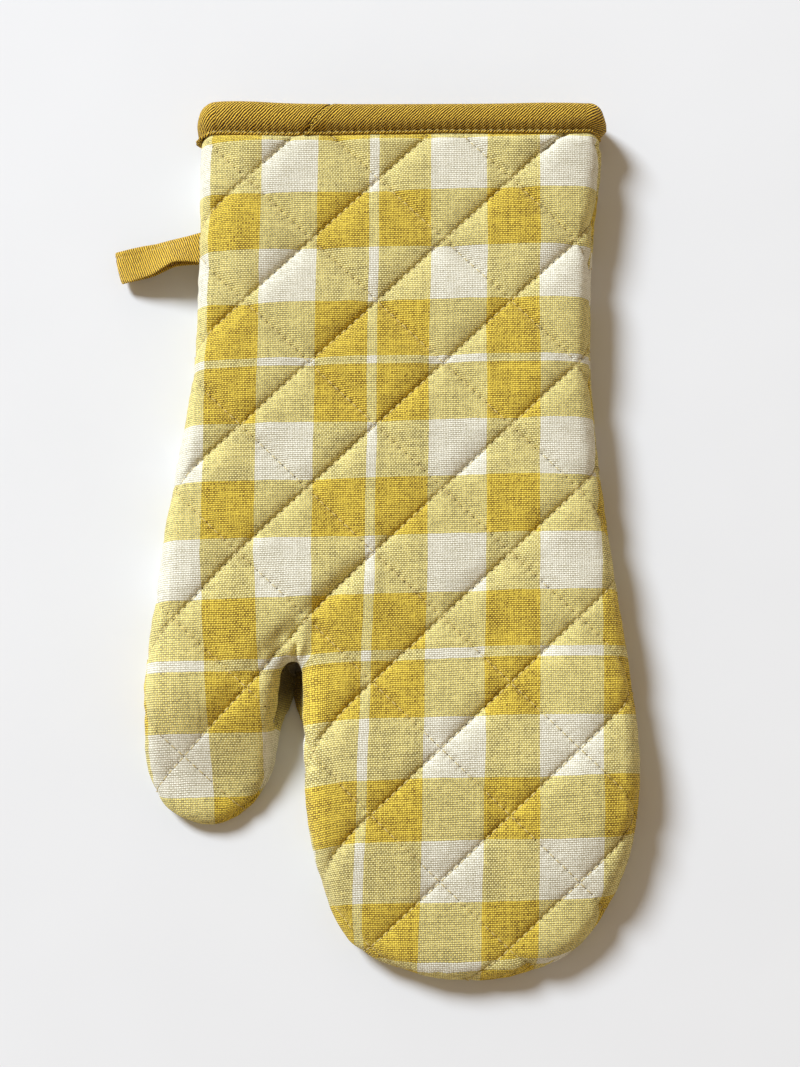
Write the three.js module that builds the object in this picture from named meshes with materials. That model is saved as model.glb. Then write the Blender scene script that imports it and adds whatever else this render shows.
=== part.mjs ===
// Grill mitt of quilted check cotton, lying flat on its back panel.
//
// Two padded panels are sewn together round the thumb and the hand. A bias binding is folded over
// the cuff's open edge, and a tape loop is caught in the left side seam.
//
// Millimetres, +Z up. X runs across the cuff, Y from the fingertips to the cuff, and the mitt rests
// on Z = 0.
import * as THREE from "three";

// Heights of the padded shell above the surface that it lies on
const SEAM_HEIGHT = 9;
const SEAM_GAP = 0.3; // between the two panels where they meet
const SEAM_WIDTH = 3; // face of each panel inside the side seam

// The padded edge is a quarter round, and the crown carries on above it
const EDGE_ROLL = 7;
const CROWN_RISE = 6;
const CROWN_REACH = 40; // distance from the seam at which the crown is full
const BACK_DROP = 9.8; // fall of the back panel's edge before the surface presses it flat

// The hollow for the hand: a short blunt end at the seam, then a slow rise
const POCKET_BLUNT = 2.2;
const POCKET_BLUNT_REACH = 2;
const POCKET_REACH = 25;
const POCKET_RISE_FRONT = 4.8;
const POCKET_RISE_BACK = 0.65;

// Diamond quilting: its seams are lines of a skewed lattice, at whole numbers of the two steps
const QUILT_ORIGIN = { x: -32.7, y: 108.6 };
const QUILT_STEP_DOWN = { x: 24.4, y: -23.4 }; // along the seams that fall to the right
const QUILT_STEP_UP = { x: 24.9, y: 23.3 }; // along the seams that rise to the right
const QUILT_DEPTH = 3;
const QUILT_DEPTH_AT_SEAM = 1.2;
const QUILT_FULLNESS = 0.55; // under 1 the padding rises steeply beside a seam
const QUILT_STATIONS = [0, 0.13, 0.32, 0.5, 0.68, 0.87]; // places in one step, closer at a seam

// The thumb is bunched towards the hand, which shifts its cloth
const THUMB_SHIFT = { x: 0.09, y: -0.04, below: -8, fromX: -15, toX: -50 };

// Cuff: panels end here, pressed thinner under the binding
const CUFF_EDGE = 160.4;
const CUFF_PRESS_FROM = 141;
const CUFF_PRESS_TO = 148;
const CUFF_PRESS_FRONT = 2;
const CUFF_PRESS_BACK = 3.1;

// Binding: a folded strip with one leg outside and one inside the mouth. The rows run once round
// its section: how far each point stands off the panel's outer or inner face, and its Y.
const BINDING_CLEAR = 0.3;
const BINDING_CLOTH = 1.2;
const BINDING_ROLL = 2.3;
const BINDING_TOP = 162.2;
const BINDING_LOW = 149.2;
const BINDING_SECTION = [
  { face: "outer", off: BINDING_CLEAR, y: BINDING_LOW },
  { face: "outer", off: BINDING_CLOTH, y: BINDING_LOW },
  { face: "outer", off: BINDING_CLOTH, y: BINDING_LOW + 1.4 },
  { face: "outer", off: BINDING_ROLL, y: BINDING_LOW + 6 },
  { face: "outer", off: BINDING_ROLL, y: BINDING_TOP - 2.6 },
  { face: "outer", off: BINDING_CLEAR, y: BINDING_TOP - 0.2 },
  { face: "inner", off: 0, y: BINDING_TOP },
  { face: "inner", off: BINDING_CLOTH, y: BINDING_TOP - 1.2 },
  { face: "inner", off: BINDING_CLOTH, y: BINDING_LOW },
  { face: "inner", off: BINDING_CLEAR, y: BINDING_LOW },
  { face: "inner", off: BINDING_CLEAR, y: CUFF_EDGE + BINDING_CLEAR },
  { face: "outer", off: BINDING_CLEAR, y: CUFF_EDGE + BINDING_CLEAR },
];
const BINDING_SIDE_DIP = 1.2; // the lower edge dips where it turns over the side seams

// Tape loop in the left side seam, drawn down towards the thumb
const LOOP_WIDTH = 13;
const LOOP_CLOTH = 1.1;
const LOOP_ROOT = { x: -75.5, y: 108 };
const LOOP_TURN = 13.5; // degrees
const LOOP_TUCK = 1.5; // room that each panel gives the tape's ends
const LOOP_TUCK_HALF = 13;
const LOOP_TUCK_FADE = 7;

// Side seam from the left end of the cuff, round the thumb and the hand, to the right end
const SIDE_SEAM = [
  { place: "cuff, left", x: -75.5, y: CUFF_EDGE },
  { place: "wrist", x: -75.5, y: 144 },
  { place: "wrist", x: -75.5, y: 110 },
  { place: "wrist", x: -76, y: 72 },
  { place: "base of the thumb", x: -79, y: 43 },
  { place: "thumb, outside", x: -84.5, y: 12 },
  { place: "thumb, outside", x: -88.5, y: -20 },
  { place: "thumb, outside", x: -92, y: -48 },
  { place: "thumb, outside", x: -92.3, y: -72 },
  { place: "thumb, tip", x: -88, y: -91 },
  { place: "thumb, tip", x: -79, y: -101.5 },
  { place: "thumb, tip", x: -67.5, y: -104.5 },
  { place: "thumb, tip", x: -55.5, y: -99.5 },
  { place: "thumb, inside", x: -46.5, y: -88 },
  { place: "thumb, inside", x: -42.4, y: -69 },
  { place: "notch", x: -41, y: -52.5 },
  { place: "notch, top", x: -38.1, y: -47.5 },
  { place: "notch", x: -35.4, y: -52.5 },
  { place: "hand, left", x: -34.8, y: -76 },
  { place: "hand, left", x: -32.8, y: -105 },
  { place: "hand, left", x: -27, y: -129 },
  { place: "fingertips", x: -16, y: -145.5 },
  { place: "fingertips", x: 1, y: -155 },
  { place: "fingertips", x: 22, y: -159.2 },
  { place: "fingertips", x: 43, y: -156.8 },
  { place: "fingertips", x: 62, y: -148.5 },
  { place: "hand, right", x: 75.5, y: -131 },
  { place: "hand, right", x: 83.5, y: -109 },
  { place: "hand, right", x: 86, y: -84 },
  { place: "hand, right", x: 83.2, y: -52 },
  { place: "hand, right", x: 79, y: -22 },
  { place: "wrist, right", x: 75, y: 8 },
  { place: "wrist, right", x: 71.6, y: 40 },
  { place: "wrist, right", x: 70.6, y: 76 },
  { place: "wrist, right", x: 72.4, y: 112 },
  { place: "wrist, right", x: 75.8, y: 141 },
  { place: "cuff, right", x: 76.2, y: 152 },
  { place: "cuff, right", x: 76.2, y: CUFF_EDGE },
];

// Run of the loop's tape, out from the seam and back: distance out and height
const LOOP_RUN = [
  { out: -2.6, height: 9.75 },
  { out: 0, height: 9.75 },
  { out: 6, height: 10.5 },
  { out: 14, height: 10.8 },
  { out: 22, height: 10.2 },
  { out: 28, height: 8.8 },
  { out: 31.6, height: 5.8 },
  { out: 30.4, height: 2.4 },
  { out: 26, height: 0.9 },
  { out: 19, height: 0.8 },
  { out: 11, height: 2.4 },
  { out: 5, height: 5.9 },
  { out: 0, height: 8.25 },
  { out: -2.6, height: 8.25 },
];

// Spacing of the faces
const FINE_STEP = 1.5; // along the seam, for measuring distances
const EDGE_STEP = 6;
const EDGE_RINGS = [0, 1, 3, 5, 8]; // distances from the seam
const MOUTH_STEP = 8; // between the rings, along the mouth and just below the binding
const MOUTH_ROWS = [CUFF_EDGE, BINDING_LOW - 2];
const QUILT_MARGIN = 2; // between the rings and the quilting's own points
const LINING_STEP = 15;
const LINING_MARGIN = 5;
const LATTICE_REACH = 12; // steps each way from the quilting's origin that cover the mitt
const LOOP_STEPS = 40;

const clamp01 = (t) => Math.min(Math.max(t, 0), 1);
const smooth = (from, to, t) => {
  const s = clamp01((t - from) / (to - from));
  return s * s * (3 - 2 * s);
};

// The side seam as a fine polyline, measured by distance along it
const seamCurve = new THREE.CatmullRomCurve3(
  SIDE_SEAM.map(({ x, y }) => new THREE.Vector3(x, y, 0)),
  false,
  "centripetal",
);
seamCurve.arcLengthDivisions = 2000;
const seamLength = seamCurve.getLength();
const seamLine = seamCurve.getSpacedPoints(Math.round(seamLength / FINE_STEP));

// Distance of a point in plan from the side seam, and the direction away from the seam
function fromSeam(x, y) {
  let nearest = Infinity;
  let away = { x: 0, y: 0 };
  for (let i = 1; i < seamLine.length; i += 1) {
    const a = seamLine[i - 1];
    const b = seamLine[i];
    const run = { x: b.x - a.x, y: b.y - a.y };
    const along = clamp01(
      ((x - a.x) * run.x + (y - a.y) * run.y) / (run.x * run.x + run.y * run.y),
    );
    const gap = { x: x - a.x - run.x * along, y: y - a.y - run.y * along };
    const distance = Math.hypot(gap.x, gap.y);
    if (distance < nearest) {
      nearest = distance;
      away = { x: gap.x / distance, y: gap.y / distance };
    }
  }
  return { distance: nearest, away };
}

// Whether a point in plan lies inside an outline that runs from cuff to cuff
function isInside(outline, x, y) {
  let inside = false;
  let b = outline[outline.length - 1];
  for (const a of outline) {
    if (a.y > y !== b.y > y && x < a.x + ((b.x - a.x) * (y - a.y)) / (b.y - a.y)) {
      inside = !inside;
    }
    b = a;
  }
  return inside;
}

// Where the thumb's bunched cloth carries a point of the flat cloth's pattern
function thumbShift(x, y) {
  const share = smooth(THUMB_SHIFT.fromX, THUMB_SHIFT.toX, x) * Math.max(THUMB_SHIFT.below - y, 0);
  return { x: THUMB_SHIFT.x * share, y: THUMB_SHIFT.y * share };
}

// Place of a point in the quilting's lattice: seams lie at whole numbers
function quiltPlace(x, y) {
  const shift = thumbShift(x, y);
  const px = x - shift.x - QUILT_ORIGIN.x;
  const py = y - shift.y - QUILT_ORIGIN.y;
  const area = QUILT_STEP_DOWN.x * QUILT_STEP_UP.y - QUILT_STEP_DOWN.y * QUILT_STEP_UP.x;
  return {
    down: (px * QUILT_STEP_UP.y - py * QUILT_STEP_UP.x) / area,
    up: (py * QUILT_STEP_DOWN.x - px * QUILT_STEP_DOWN.y) / area,
  };
}

// The point in plan at a place in the lattice: a few turns settle the thumb's shift
function quiltPoint(down, up) {
  const x = QUILT_ORIGIN.x + QUILT_STEP_DOWN.x * down + QUILT_STEP_UP.x * up;
  const y = QUILT_ORIGIN.y + QUILT_STEP_DOWN.y * down + QUILT_STEP_UP.y * up;
  let point = { x, y };
  for (let turn = 0; turn < 5; turn += 1) {
    const shift = thumbShift(point.x, point.y);
    point = { x: x + shift.x, y: y + shift.y };
  }
  return point;
}

// Padding of the quilting, 0 on a seam and 1 in the middle of a diamond
function puff(x, y) {
  const { down, up } = quiltPlace(x, y);
  return Math.abs(Math.sin(Math.PI * down) * Math.sin(Math.PI * up)) ** QUILT_FULLNESS;
}

// Rise of a quarter round, and of a slow crown, at a distance from where they start
const quarterRound = (distance, radius) => {
  const d = Math.min(Math.max(distance, 0), radius);
  return Math.sqrt(d * (2 * radius - d));
};
const crown = (distance, reach) => {
  const t = clamp01(distance / reach);
  return t * (2 - t);
};

// Room for the loop's ends between the two panels
function loopTuck(y, distance) {
  const aside = Math.abs(y - LOOP_ROOT.y);
  const alongSeam = 1 - smooth(LOOP_TUCK_HALF, LOOP_TUCK_HALF + LOOP_TUCK_FADE, aside);
  const intoSeam = 1 - smooth(SEAM_WIDTH + 1, SEAM_WIDTH + 5, distance);
  return LOOP_TUCK * alongSeam * intoSeam;
}
const seamTuck = (x, y, distance) => (x < 0 ? loopTuck(y, distance) : 0);

// Outer face of a panel over a point in plan: side is 1 for the front and -1 for the back. The
// quilting's seams pull it in along its own normal, which is level at the side seam.
function outerPoint(side, x, y, onSeam) {
  const { distance, away } = fromSeam(x, y);
  const d = onSeam ? 0 : distance;
  const level = 1 - clamp01(d / EDGE_ROLL);
  const upright = Math.sqrt(1 - level * level);
  const depth = THREE.MathUtils.lerp(QUILT_DEPTH, QUILT_DEPTH_AT_SEAM, level);
  const pressed = smooth(CUFF_PRESS_FROM, CUFF_PRESS_TO, y);
  const cuffPress = side > 0 ? CUFF_PRESS_FRONT : CUFF_PRESS_BACK;
  const cuffDepth = THREE.MathUtils.lerp(cuffPress, QUILT_DEPTH_AT_SEAM / 2, level);
  const pull = THREE.MathUtils.lerp(depth * (1 - puff(x, y)), cuffDepth, pressed);
  const inward = onSeam ? seamInward(x, y) : away;
  const px = x + inward.x * level * pull;
  const py = y + (y < CUFF_EDGE ? inward.y * level * pull : 0);
  if (onSeam) {
    const rim = SEAM_GAP / 2 + seamTuck(x, y, 0);
    return new THREE.Vector3(px, py, SEAM_HEIGHT + side * rim);
  }
  const rollFront = quarterRound(d, EDGE_ROLL) + CROWN_RISE * crown(d, CROWN_REACH);
  const rollBack = (BACK_DROP / EDGE_ROLL) * quarterRound(d, EDGE_ROLL);
  const height =
    side > 0
      ? SEAM_HEIGHT + rollFront - upright * pull
      : Math.max(SEAM_HEIGHT - rollBack + upright * pull, 0);
  return new THREE.Vector3(px, py, height);
}

// Direction into the mitt at a point of the side seam
function seamInward(x, y) {
  let best = 1;
  let nearest = Infinity;
  for (let i = 1; i < seamLine.length - 1; i += 1) {
    const distance = Math.hypot(seamLine[i].x - x, seamLine[i].y - y);
    if (distance < nearest) {
      nearest = distance;
      best = i;
    }
  }
  const a = seamLine[best - 1];
  const b = seamLine[best + 1];
  const length = Math.hypot(b.x - a.x, b.y - a.y);
  return { x: -(b.y - a.y) / length, y: (b.x - a.x) / length };
}

// Inner face of a panel over a point in plan
function innerPoint(side, x, y) {
  const { distance } = fromSeam(x, y);
  const reach = side > 0 ? POCKET_RISE_FRONT : POCKET_RISE_BACK;
  const rise =
    SEAM_GAP / 2 +
    seamTuck(x, y, distance) +
    POCKET_BLUNT * clamp01((distance - SEAM_WIDTH) / POCKET_BLUNT_REACH) +
    reach * crown(distance - SEAM_WIDTH, POCKET_REACH);
  return new THREE.Vector3(x, y, SEAM_HEIGHT + side * rise);
}

// Stations along the side seam: one where each quilting seam meets it, and more between them
function seamStations() {
  const meets = [0];
  let before = quiltPlace(seamLine[0].x, seamLine[0].y);
  for (let i = 1; i < seamLine.length; i += 1) {
    const here = quiltPlace(seamLine[i].x, seamLine[i].y);
    const crossed = ["down", "up"].some((way) => Math.floor(here[way]) !== Math.floor(before[way]));
    const at = (i - 0.5) / (seamLine.length - 1);
    if (crossed && (at - meets[meets.length - 1]) * seamLength > EDGE_STEP / 2) {
      meets.push(at);
    }
    before = here;
  }
  meets.push(1);
  const stations = [0];
  for (let i = 1; i < meets.length; i += 1) {
    const parts = Math.max(1, Math.ceil(((meets[i] - meets[i - 1]) * seamLength) / EDGE_STEP));
    for (let part = 1; part <= parts; part += 1) {
      stations.push(meets[i - 1] + ((meets[i] - meets[i - 1]) * part) / parts);
    }
  }
  return stations;
}

// Plan points that both faces of a panel share: rings inside the seam and the row along the mouth
function rimPoints() {
  const points = [];
  const stations = seamStations();
  for (const ring of EDGE_RINGS) {
    stations.forEach((at, i) => {
      const p = seamCurve.getPointAt(at);
      const inward = seamInward(p.x, p.y);
      const isEnd = i === 0 || i === stations.length - 1;
      const x = isEnd ? p.x + Math.sign(-p.x) * ring : p.x + inward.x * ring;
      const y = isEnd ? CUFF_EDGE : p.y + inward.y * ring;
      points.push({ x, y, onSeam: ring === 0, onMouth: isEnd });
    });
  }
  const between = mouthInsets().slice(EDGE_RINGS.length, -EDGE_RINGS.length);
  for (const y of MOUTH_ROWS) {
    for (const inset of between) {
      points.push({ x: SIDE_SEAM[0].x + inset, y, onMouth: y === CUFF_EDGE });
    }
  }
  return points;
}

// Distances from the left end of the mouth to the right end: the rings, even steps, the rings
function mouthInsets() {
  const width = SIDE_SEAM[SIDE_SEAM.length - 1].x - SIDE_SEAM[0].x;
  const last = EDGE_RINGS[EDGE_RINGS.length - 1];
  const parts = Math.round((width - 2 * last) / MOUTH_STEP);
  const insets = [...EDGE_RINGS];
  for (let i = 1; i < parts; i += 1) {
    insets.push(last + ((width - 2 * last) * i) / parts);
  }
  return [...insets, ...EDGE_RINGS.map((ring) => width - ring).reverse()];
}

const isClear = ({ x, y }, margin) =>
  y < MOUTH_ROWS[MOUTH_ROWS.length - 1] - margin &&
  isInside(seamLine, x, y) &&
  fromSeam(x, y).distance > EDGE_RINGS[EDGE_RINGS.length - 1] + margin;

// Plan points of the outer face: the quilting's lattice, so that its seams are crisp
function quiltPoints() {
  const points = [];
  for (let cellDown = -LATTICE_REACH; cellDown < LATTICE_REACH; cellDown += 1) {
    for (let cellUp = -LATTICE_REACH; cellUp < LATTICE_REACH; cellUp += 1) {
      for (const partDown of QUILT_STATIONS) {
        for (const partUp of QUILT_STATIONS) {
          const point = quiltPoint(cellDown + partDown, cellUp + partUp);
          if (isClear(point, QUILT_MARGIN)) {
            points.push(point);
          }
        }
      }
    }
  }
  return points;
}

// Plan points of the inner face, which is smooth
function liningPoints() {
  const points = [];
  const box = new THREE.Box3().setFromPoints(seamLine);
  for (let y = box.min.y; y < box.max.y; y += LINING_STEP) {
    for (let x = box.min.x; x < box.max.x; x += LINING_STEP) {
      if (isClear({ x, y }, LINING_MARGIN)) {
        points.push({ x, y });
      }
    }
  }
  return points;
}

// Delaunay triangles of plan points, as anticlockwise triples of indices. A nudge of about a
// micrometre settles which triangle wins where four points lie on one circle.
function delaunay(points) {
  const nudge = 1e-3;
  const far = 1e4;
  const sites = points.map(({ x, y }, i) => ({
    x: x + nudge * Math.sin(12.9 * i),
    y: y + nudge * Math.sin(78.2 * i),
  }));
  const count = sites.length;
  sites.push({ x: -far, y: -far }, { x: far, y: -far }, { x: 0, y: far });
  const withCircle = (corners) => {
    const [a, b, c] = corners.map((i) => sites[i]);
    const bx = b.x - a.x;
    const by = b.y - a.y;
    const cx = c.x - a.x;
    const cy = c.y - a.y;
    const twice = 2 * (bx * cy - by * cx);
    const ux = (cy * (bx * bx + by * by) - by * (cx * cx + cy * cy)) / twice;
    const uy = (bx * (cx * cx + cy * cy) - cx * (bx * bx + by * by)) / twice;
    return { corners, x: a.x + ux, y: a.y + uy, radius: Math.hypot(ux, uy) };
  };
  let triangles = [withCircle([count, count + 1, count + 2])];
  for (let i = 0; i < count; i += 1) {
    const border = new Map();
    triangles = triangles.filter((triangle) => {
      if (Math.hypot(sites[i].x - triangle.x, sites[i].y - triangle.y) >= triangle.radius) {
        return true;
      }
      const [a, b, c] = triangle.corners;
      for (const [from, to] of [[a, b], [b, c], [c, a]]) {
        if (!border.delete(`${to} ${from}`)) {
          border.set(`${from} ${to}`, [from, to]);
        }
      }
      return false;
    });
    for (const [from, to] of border.values()) {
      triangles.push(withCircle([from, to, i]));
    }
  }
  return triangles.map(({ corners }) => corners).filter((corners) => Math.max(...corners) < count);
}

// Triangles of one face in plan, without those that fill the notch or lie outside the seam
function faceTriangles(points) {
  const outline = points.filter(({ onSeam }) => onSeam);
  return delaunay(points).filter((corners) => {
    const x = corners.reduce((sum, i) => sum + points[i].x, 0) / corners.length;
    const y = corners.reduce((sum, i) => sum + points[i].y, 0) / corners.length;
    return isInside(outline, x, y);
  });
}

function meshOf(name, vertices, triangles, material) {
  const geometry = new THREE.BufferGeometry();
  const places = vertices.flatMap(({ x, y, z }) => [x, y, z]);
  geometry.setAttribute("position", new THREE.Float32BufferAttribute(places, 3));
  geometry.setIndex(triangles.flat());
  geometry.computeVertexNormals();
  const mesh = new THREE.Mesh(geometry, material);
  mesh.name = name;
  return mesh;
}

// One padded panel: outer face, inner face, and the cut edge at the mouth between them. The two
// faces share their points on the side seam.
function panel(name, side, material) {
  const rim = rimPoints();
  const outerPlan = [...rim, ...quiltPoints()];
  const innerPlan = [...rim, ...liningPoints()];
  const vertices = outerPlan.map(({ x, y, onSeam }) => outerPoint(side, x, y, onSeam));
  const innerIndex = innerPlan.map(({ x, y, onSeam }, i) =>
    onSeam ? i : vertices.push(innerPoint(side, x, y)) - 1,
  );
  const outerFace = faceTriangles(outerPlan);
  const innerFace = faceTriangles(innerPlan).map(([a, b, c]) =>
    [a, c, b].map((i) => innerIndex[i]),
  );
  const mouth = rim
    .map((point, i) => ({ ...point, i }))
    .filter(({ onMouth }) => onMouth)
    .sort((a, b) => a.x - b.x);
  const cutEdge = [];
  for (let k = 1; k < mouth.length; k += 1) {
    const a = mouth[k - 1].i;
    const b = mouth[k].i;
    cutEdge.push([a, innerIndex[b], innerIndex[a]], [a, b, innerIndex[b]]);
  }
  const triangles = [...outerFace, ...innerFace, ...cutEdge.filter(hasThreeCorners)];
  return meshOf(name, vertices, side > 0 ? triangles : flipped(triangles), material);
}

// Stations round the mouth, from the left end over the front and back under the back panel. Each
// has a point on the outer and the inner face, and the direction off each face.
function mouthStations() {
  const left = SIDE_SEAM[0].x;
  const width = SIDE_SEAM[SIDE_SEAM.length - 1].x - left;
  const insets = mouthInsets().slice(1, -1);
  const pocketShare = (width - 2 * SEAM_WIDTH) / width;
  const at = (side, inset) => {
    const outerAt = (x) => outerPoint(side, x, CUFF_EDGE, false);
    const innerAt = (x) => innerPoint(side, x, CUFF_EDGE);
    const innerX = left + SEAM_WIDTH + inset * pocketShare;
    return {
      outer: outerAt(left + inset),
      offOuter: acrossSlope(outerAt, left + inset).multiplyScalar(side),
      inner: innerAt(innerX),
      offInner: acrossSlope(innerAt, innerX).multiplyScalar(-side),
    };
  };
  const onSide = (sign, x) => ({
    outer: outerPoint(1, x, CUFF_EDGE, true).setZ(SEAM_HEIGHT),
    offOuter: new THREE.Vector3(sign, 0, 0),
    inner: new THREE.Vector3(x - sign * SEAM_WIDTH, CUFF_EDGE, SEAM_HEIGHT),
    offInner: new THREE.Vector3(-sign, 0, 0),
  });
  return [
    onSide(-1, left),
    ...insets.map((inset) => at(1, inset)),
    onSide(1, left + width),
    ...insets.map((inset) => at(-1, inset)).reverse(),
  ];
}

// Direction square to a face in the plane of the mouth, on the side of +Z
function acrossSlope(pointAt, x) {
  const reach = 0.2;
  const before = pointAt(x - reach);
  const after = pointAt(x + reach);
  return new THREE.Vector3(before.z - after.z, 0, after.x - before.x).normalize();
}

// The binding: its section carried once round the mouth
function cuffBinding(name, material) {
  const stations = mouthStations();
  const vertices = stations.flatMap((station) =>
    BINDING_SECTION.map(({ face, off, y }) => {
      const isOuter = face === "outer";
      const base = isOuter ? station.outer : station.inner;
      const direction = isOuter ? station.offOuter : station.offInner;
      const point = base.clone().addScaledVector(direction, off);
      const low = (BINDING_TOP - y) / (BINDING_TOP - BINDING_LOW);
      const dip = isOuter ? BINDING_SIDE_DIP * low * direction.x ** 2 : 0;
      return point.set(point.x, y - dip, Math.max(point.z, 0));
    }),
  );
  const ring = BINDING_SECTION.length;
  const triangles = [];
  for (let k = 0; k < stations.length; k += 1) {
    for (let j = 0; j < ring; j += 1) {
      const a = k * ring + j;
      const b = k * ring + ((j + 1) % ring);
      const c = ((k + 1) % stations.length) * ring + ((j + 1) % ring);
      const d = ((k + 1) % stations.length) * ring + j;
      triangles.push([a, c, b], [a, d, c]);
    }
  }
  return meshOf(name, vertices, triangles, material);
}

// The loop: a tape folded back on itself, its ends side by side between the panels
function hangingLoop(name, material) {
  const run = new THREE.CatmullRomCurve3(
    LOOP_RUN.map(({ out, height }) => new THREE.Vector3(out, height, 0)),
    false,
    "centripetal",
  );
  const [outside, inside] = [1, -1].map((face) =>
    Array.from({ length: LOOP_STEPS + 1 }, (_, i) => {
      const along = run.getTangentAt(i / LOOP_STEPS);
      const off = new THREE.Vector3(-along.y, along.x, 0).multiplyScalar((face * LOOP_CLOTH) / 2);
      return run.getPointAt(i / LOOP_STEPS).add(off);
    }),
  );
  const section = new THREE.Shape([...outside, ...inside.reverse()]);
  const geometry = new THREE.ExtrudeGeometry(section, { depth: LOOP_WIDTH, bevelEnabled: false });
  geometry.translate(0, 0, -LOOP_WIDTH / 2);
  const turn = THREE.MathUtils.degToRad(LOOP_TURN);
  const out = new THREE.Vector3(-Math.cos(turn), -Math.sin(turn), 0);
  const up = new THREE.Vector3(0, 0, 1);
  const place = new THREE.Matrix4().makeBasis(out, up, new THREE.Vector3().crossVectors(out, up));
  place.setPosition(LOOP_ROOT.x, LOOP_ROOT.y, 0);
  geometry.applyMatrix4(place);
  const mesh = new THREE.Mesh(geometry, material);
  mesh.name = name;
  return mesh;
}

const flipped = (triangles) => triangles.map(([a, b, c]) => [a, c, b]);
const hasThreeCorners = ([a, b, c]) => a !== b && b !== c && c !== a;

const checkCotton = new THREE.MeshStandardMaterial({ color: 0xd3bf78, roughness: 0.9, metalness: 0 });
const biasCotton = new THREE.MeshStandardMaterial({ color: 0xb58a26, roughness: 0.85, metalness: 0 });

const mitt = new THREE.Group();
mitt.add(panel("front_panel", 1, checkCotton));
mitt.add(panel("back_panel", -1, checkCotton));
mitt.add(cuffBinding("cuff_binding", biasCotton));
mitt.add(hangingLoop("hanging_loop", biasCotton));

// The origin lies under the middle of the whole
const middle = new THREE.Box3().setFromObject(mitt, true).getCenter(new THREE.Vector3());
mitt.position.set(-middle.x, -middle.y, 0);

export default mitt;
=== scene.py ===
# Grill mitt of quilted check cotton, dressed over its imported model: two padded panels, a bias
# binding round the cuff, a tape loop in the side seam, and the stitches.
#
# Sizes are in millimetres on the mitt's own plan: X runs across the cuff, Y from the fingertips to
# the cuff, and Z up from the surface that the mitt lies on. They become metres in each mesh.
import math
from collections import namedtuple

import bpy
import numpy as np
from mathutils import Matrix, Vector, kdtree, noise
from mathutils.geometry import delaunay_2d_cdt


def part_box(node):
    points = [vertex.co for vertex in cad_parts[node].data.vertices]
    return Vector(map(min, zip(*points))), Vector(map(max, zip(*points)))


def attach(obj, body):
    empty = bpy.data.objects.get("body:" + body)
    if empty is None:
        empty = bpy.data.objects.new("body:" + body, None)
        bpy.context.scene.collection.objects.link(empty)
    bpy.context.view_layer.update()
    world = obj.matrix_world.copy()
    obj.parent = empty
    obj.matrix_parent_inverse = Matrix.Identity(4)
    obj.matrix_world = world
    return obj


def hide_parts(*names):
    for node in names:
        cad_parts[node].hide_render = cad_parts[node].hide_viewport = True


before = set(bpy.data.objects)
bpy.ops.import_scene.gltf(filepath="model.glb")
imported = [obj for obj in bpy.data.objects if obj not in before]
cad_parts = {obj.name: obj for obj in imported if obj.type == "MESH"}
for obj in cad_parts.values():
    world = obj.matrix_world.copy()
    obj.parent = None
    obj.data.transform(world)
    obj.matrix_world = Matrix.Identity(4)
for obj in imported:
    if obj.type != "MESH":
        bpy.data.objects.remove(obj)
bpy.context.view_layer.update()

MILLIMETRE = 0.001
QUARTER_TURN = math.pi / 2

# Each pair of from and to below is a reach over which something sets in softly.

# Heights of the padded shell above the surface that it lies on
SEAM_HEIGHT = 9
SEAM_GAP = 0.12  # from the middle of the side seam to each panel
SEAM_GAP_TURN = 0.5  # turn of the padded edge, in radians, past which the gap is gone
SEAM_WIDTH = 3
EDGE_ROLL = 7
EDGE_RISE = 8.3
CROWN_RISE = 3.4
CROWN_REACH = 17
CROWN_HOLLOW = 0.5  # how much lower the middle of the mitt lies than its puffed edges
CROWN_BLUR = 2  # cells of the crown's grid
CROWN_SOFT = {"from": 3, "to": 12}  # depths over which the blurred crown takes over
BACK_DROP = 9.8
BACK_SOFTNESS = 0.4  # how softly the back panel settles on the surface

# The thumb and the fingertips grow thin and droop towards their tips
THUMB_X = {"from": -40, "to": -48}
THUMB_DROOP = {"from": -54, "to": -96, "left": 0.4}
FINGER_DROOP = {"from": -86, "to": -166, "left": 0.58}
THUMB_TIP_X = {"from": -42, "to": -52}
THUMB_TIP_Y = {"from": -50, "to": -80}

# The side seam lies in a shallow groove, and the back panel swells past it on the lower right
GROOVE_DEPTH = 1.2
GROOVE_TURN = math.radians(20)
LOWER_RIGHT = np.array((0.94, -0.34))
FACING_RIGHT = {"from": -0.1, "to": 0.6}  # how much of an edge's direction is that one
BACK_SWELL = 1.6
BACK_SWELL_TURN = math.radians(75)
EDGE_PUCKER = 0.25
EDGE_PUCKER_SIZE = 3.5

# The notch between thumb and hand, nearly closed low down by the swell of the back panel
NOTCH = np.array((-38, -48))
NOTCH_SWELL = 6.6
NOTCH_REACH = 31
NOTCH_TURNS = np.radians((15, 55, 65, 90))  # the swell starts, is full, still full, and gone
# The notch's deep shade below is painted: it darkens the cloth's colour
NOTCH_SHADE = {"from": 27, "to": 10}  # reach of the deep shade in it

# The hollow for the hand
POCKET_BLUNT = 2.2
POCKET_BLUNT_REACH = 2
POCKET_REACH = 25
POCKET_RISE = {"front": 4.8, "back": 0.65}

# Diamond quilting: its seams are lines of a skewed lattice, at whole numbers of the two steps
QUILT_ORIGIN = np.array((-32.7, 108.6))
QUILT_STEP_DOWN = np.array((24.4, -23.4))
QUILT_STEP_UP = np.array((24.9, 23.3))
QUILT_REACH = 9  # steps each way from the origin that cover the mitt
ROW_SPACING_DOWN = 33.75  # between seams that rise to the right
ROW_SPACING_UP = 34.05  # between seams that fall to the right
STITCHES_A_STEP = 11

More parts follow.
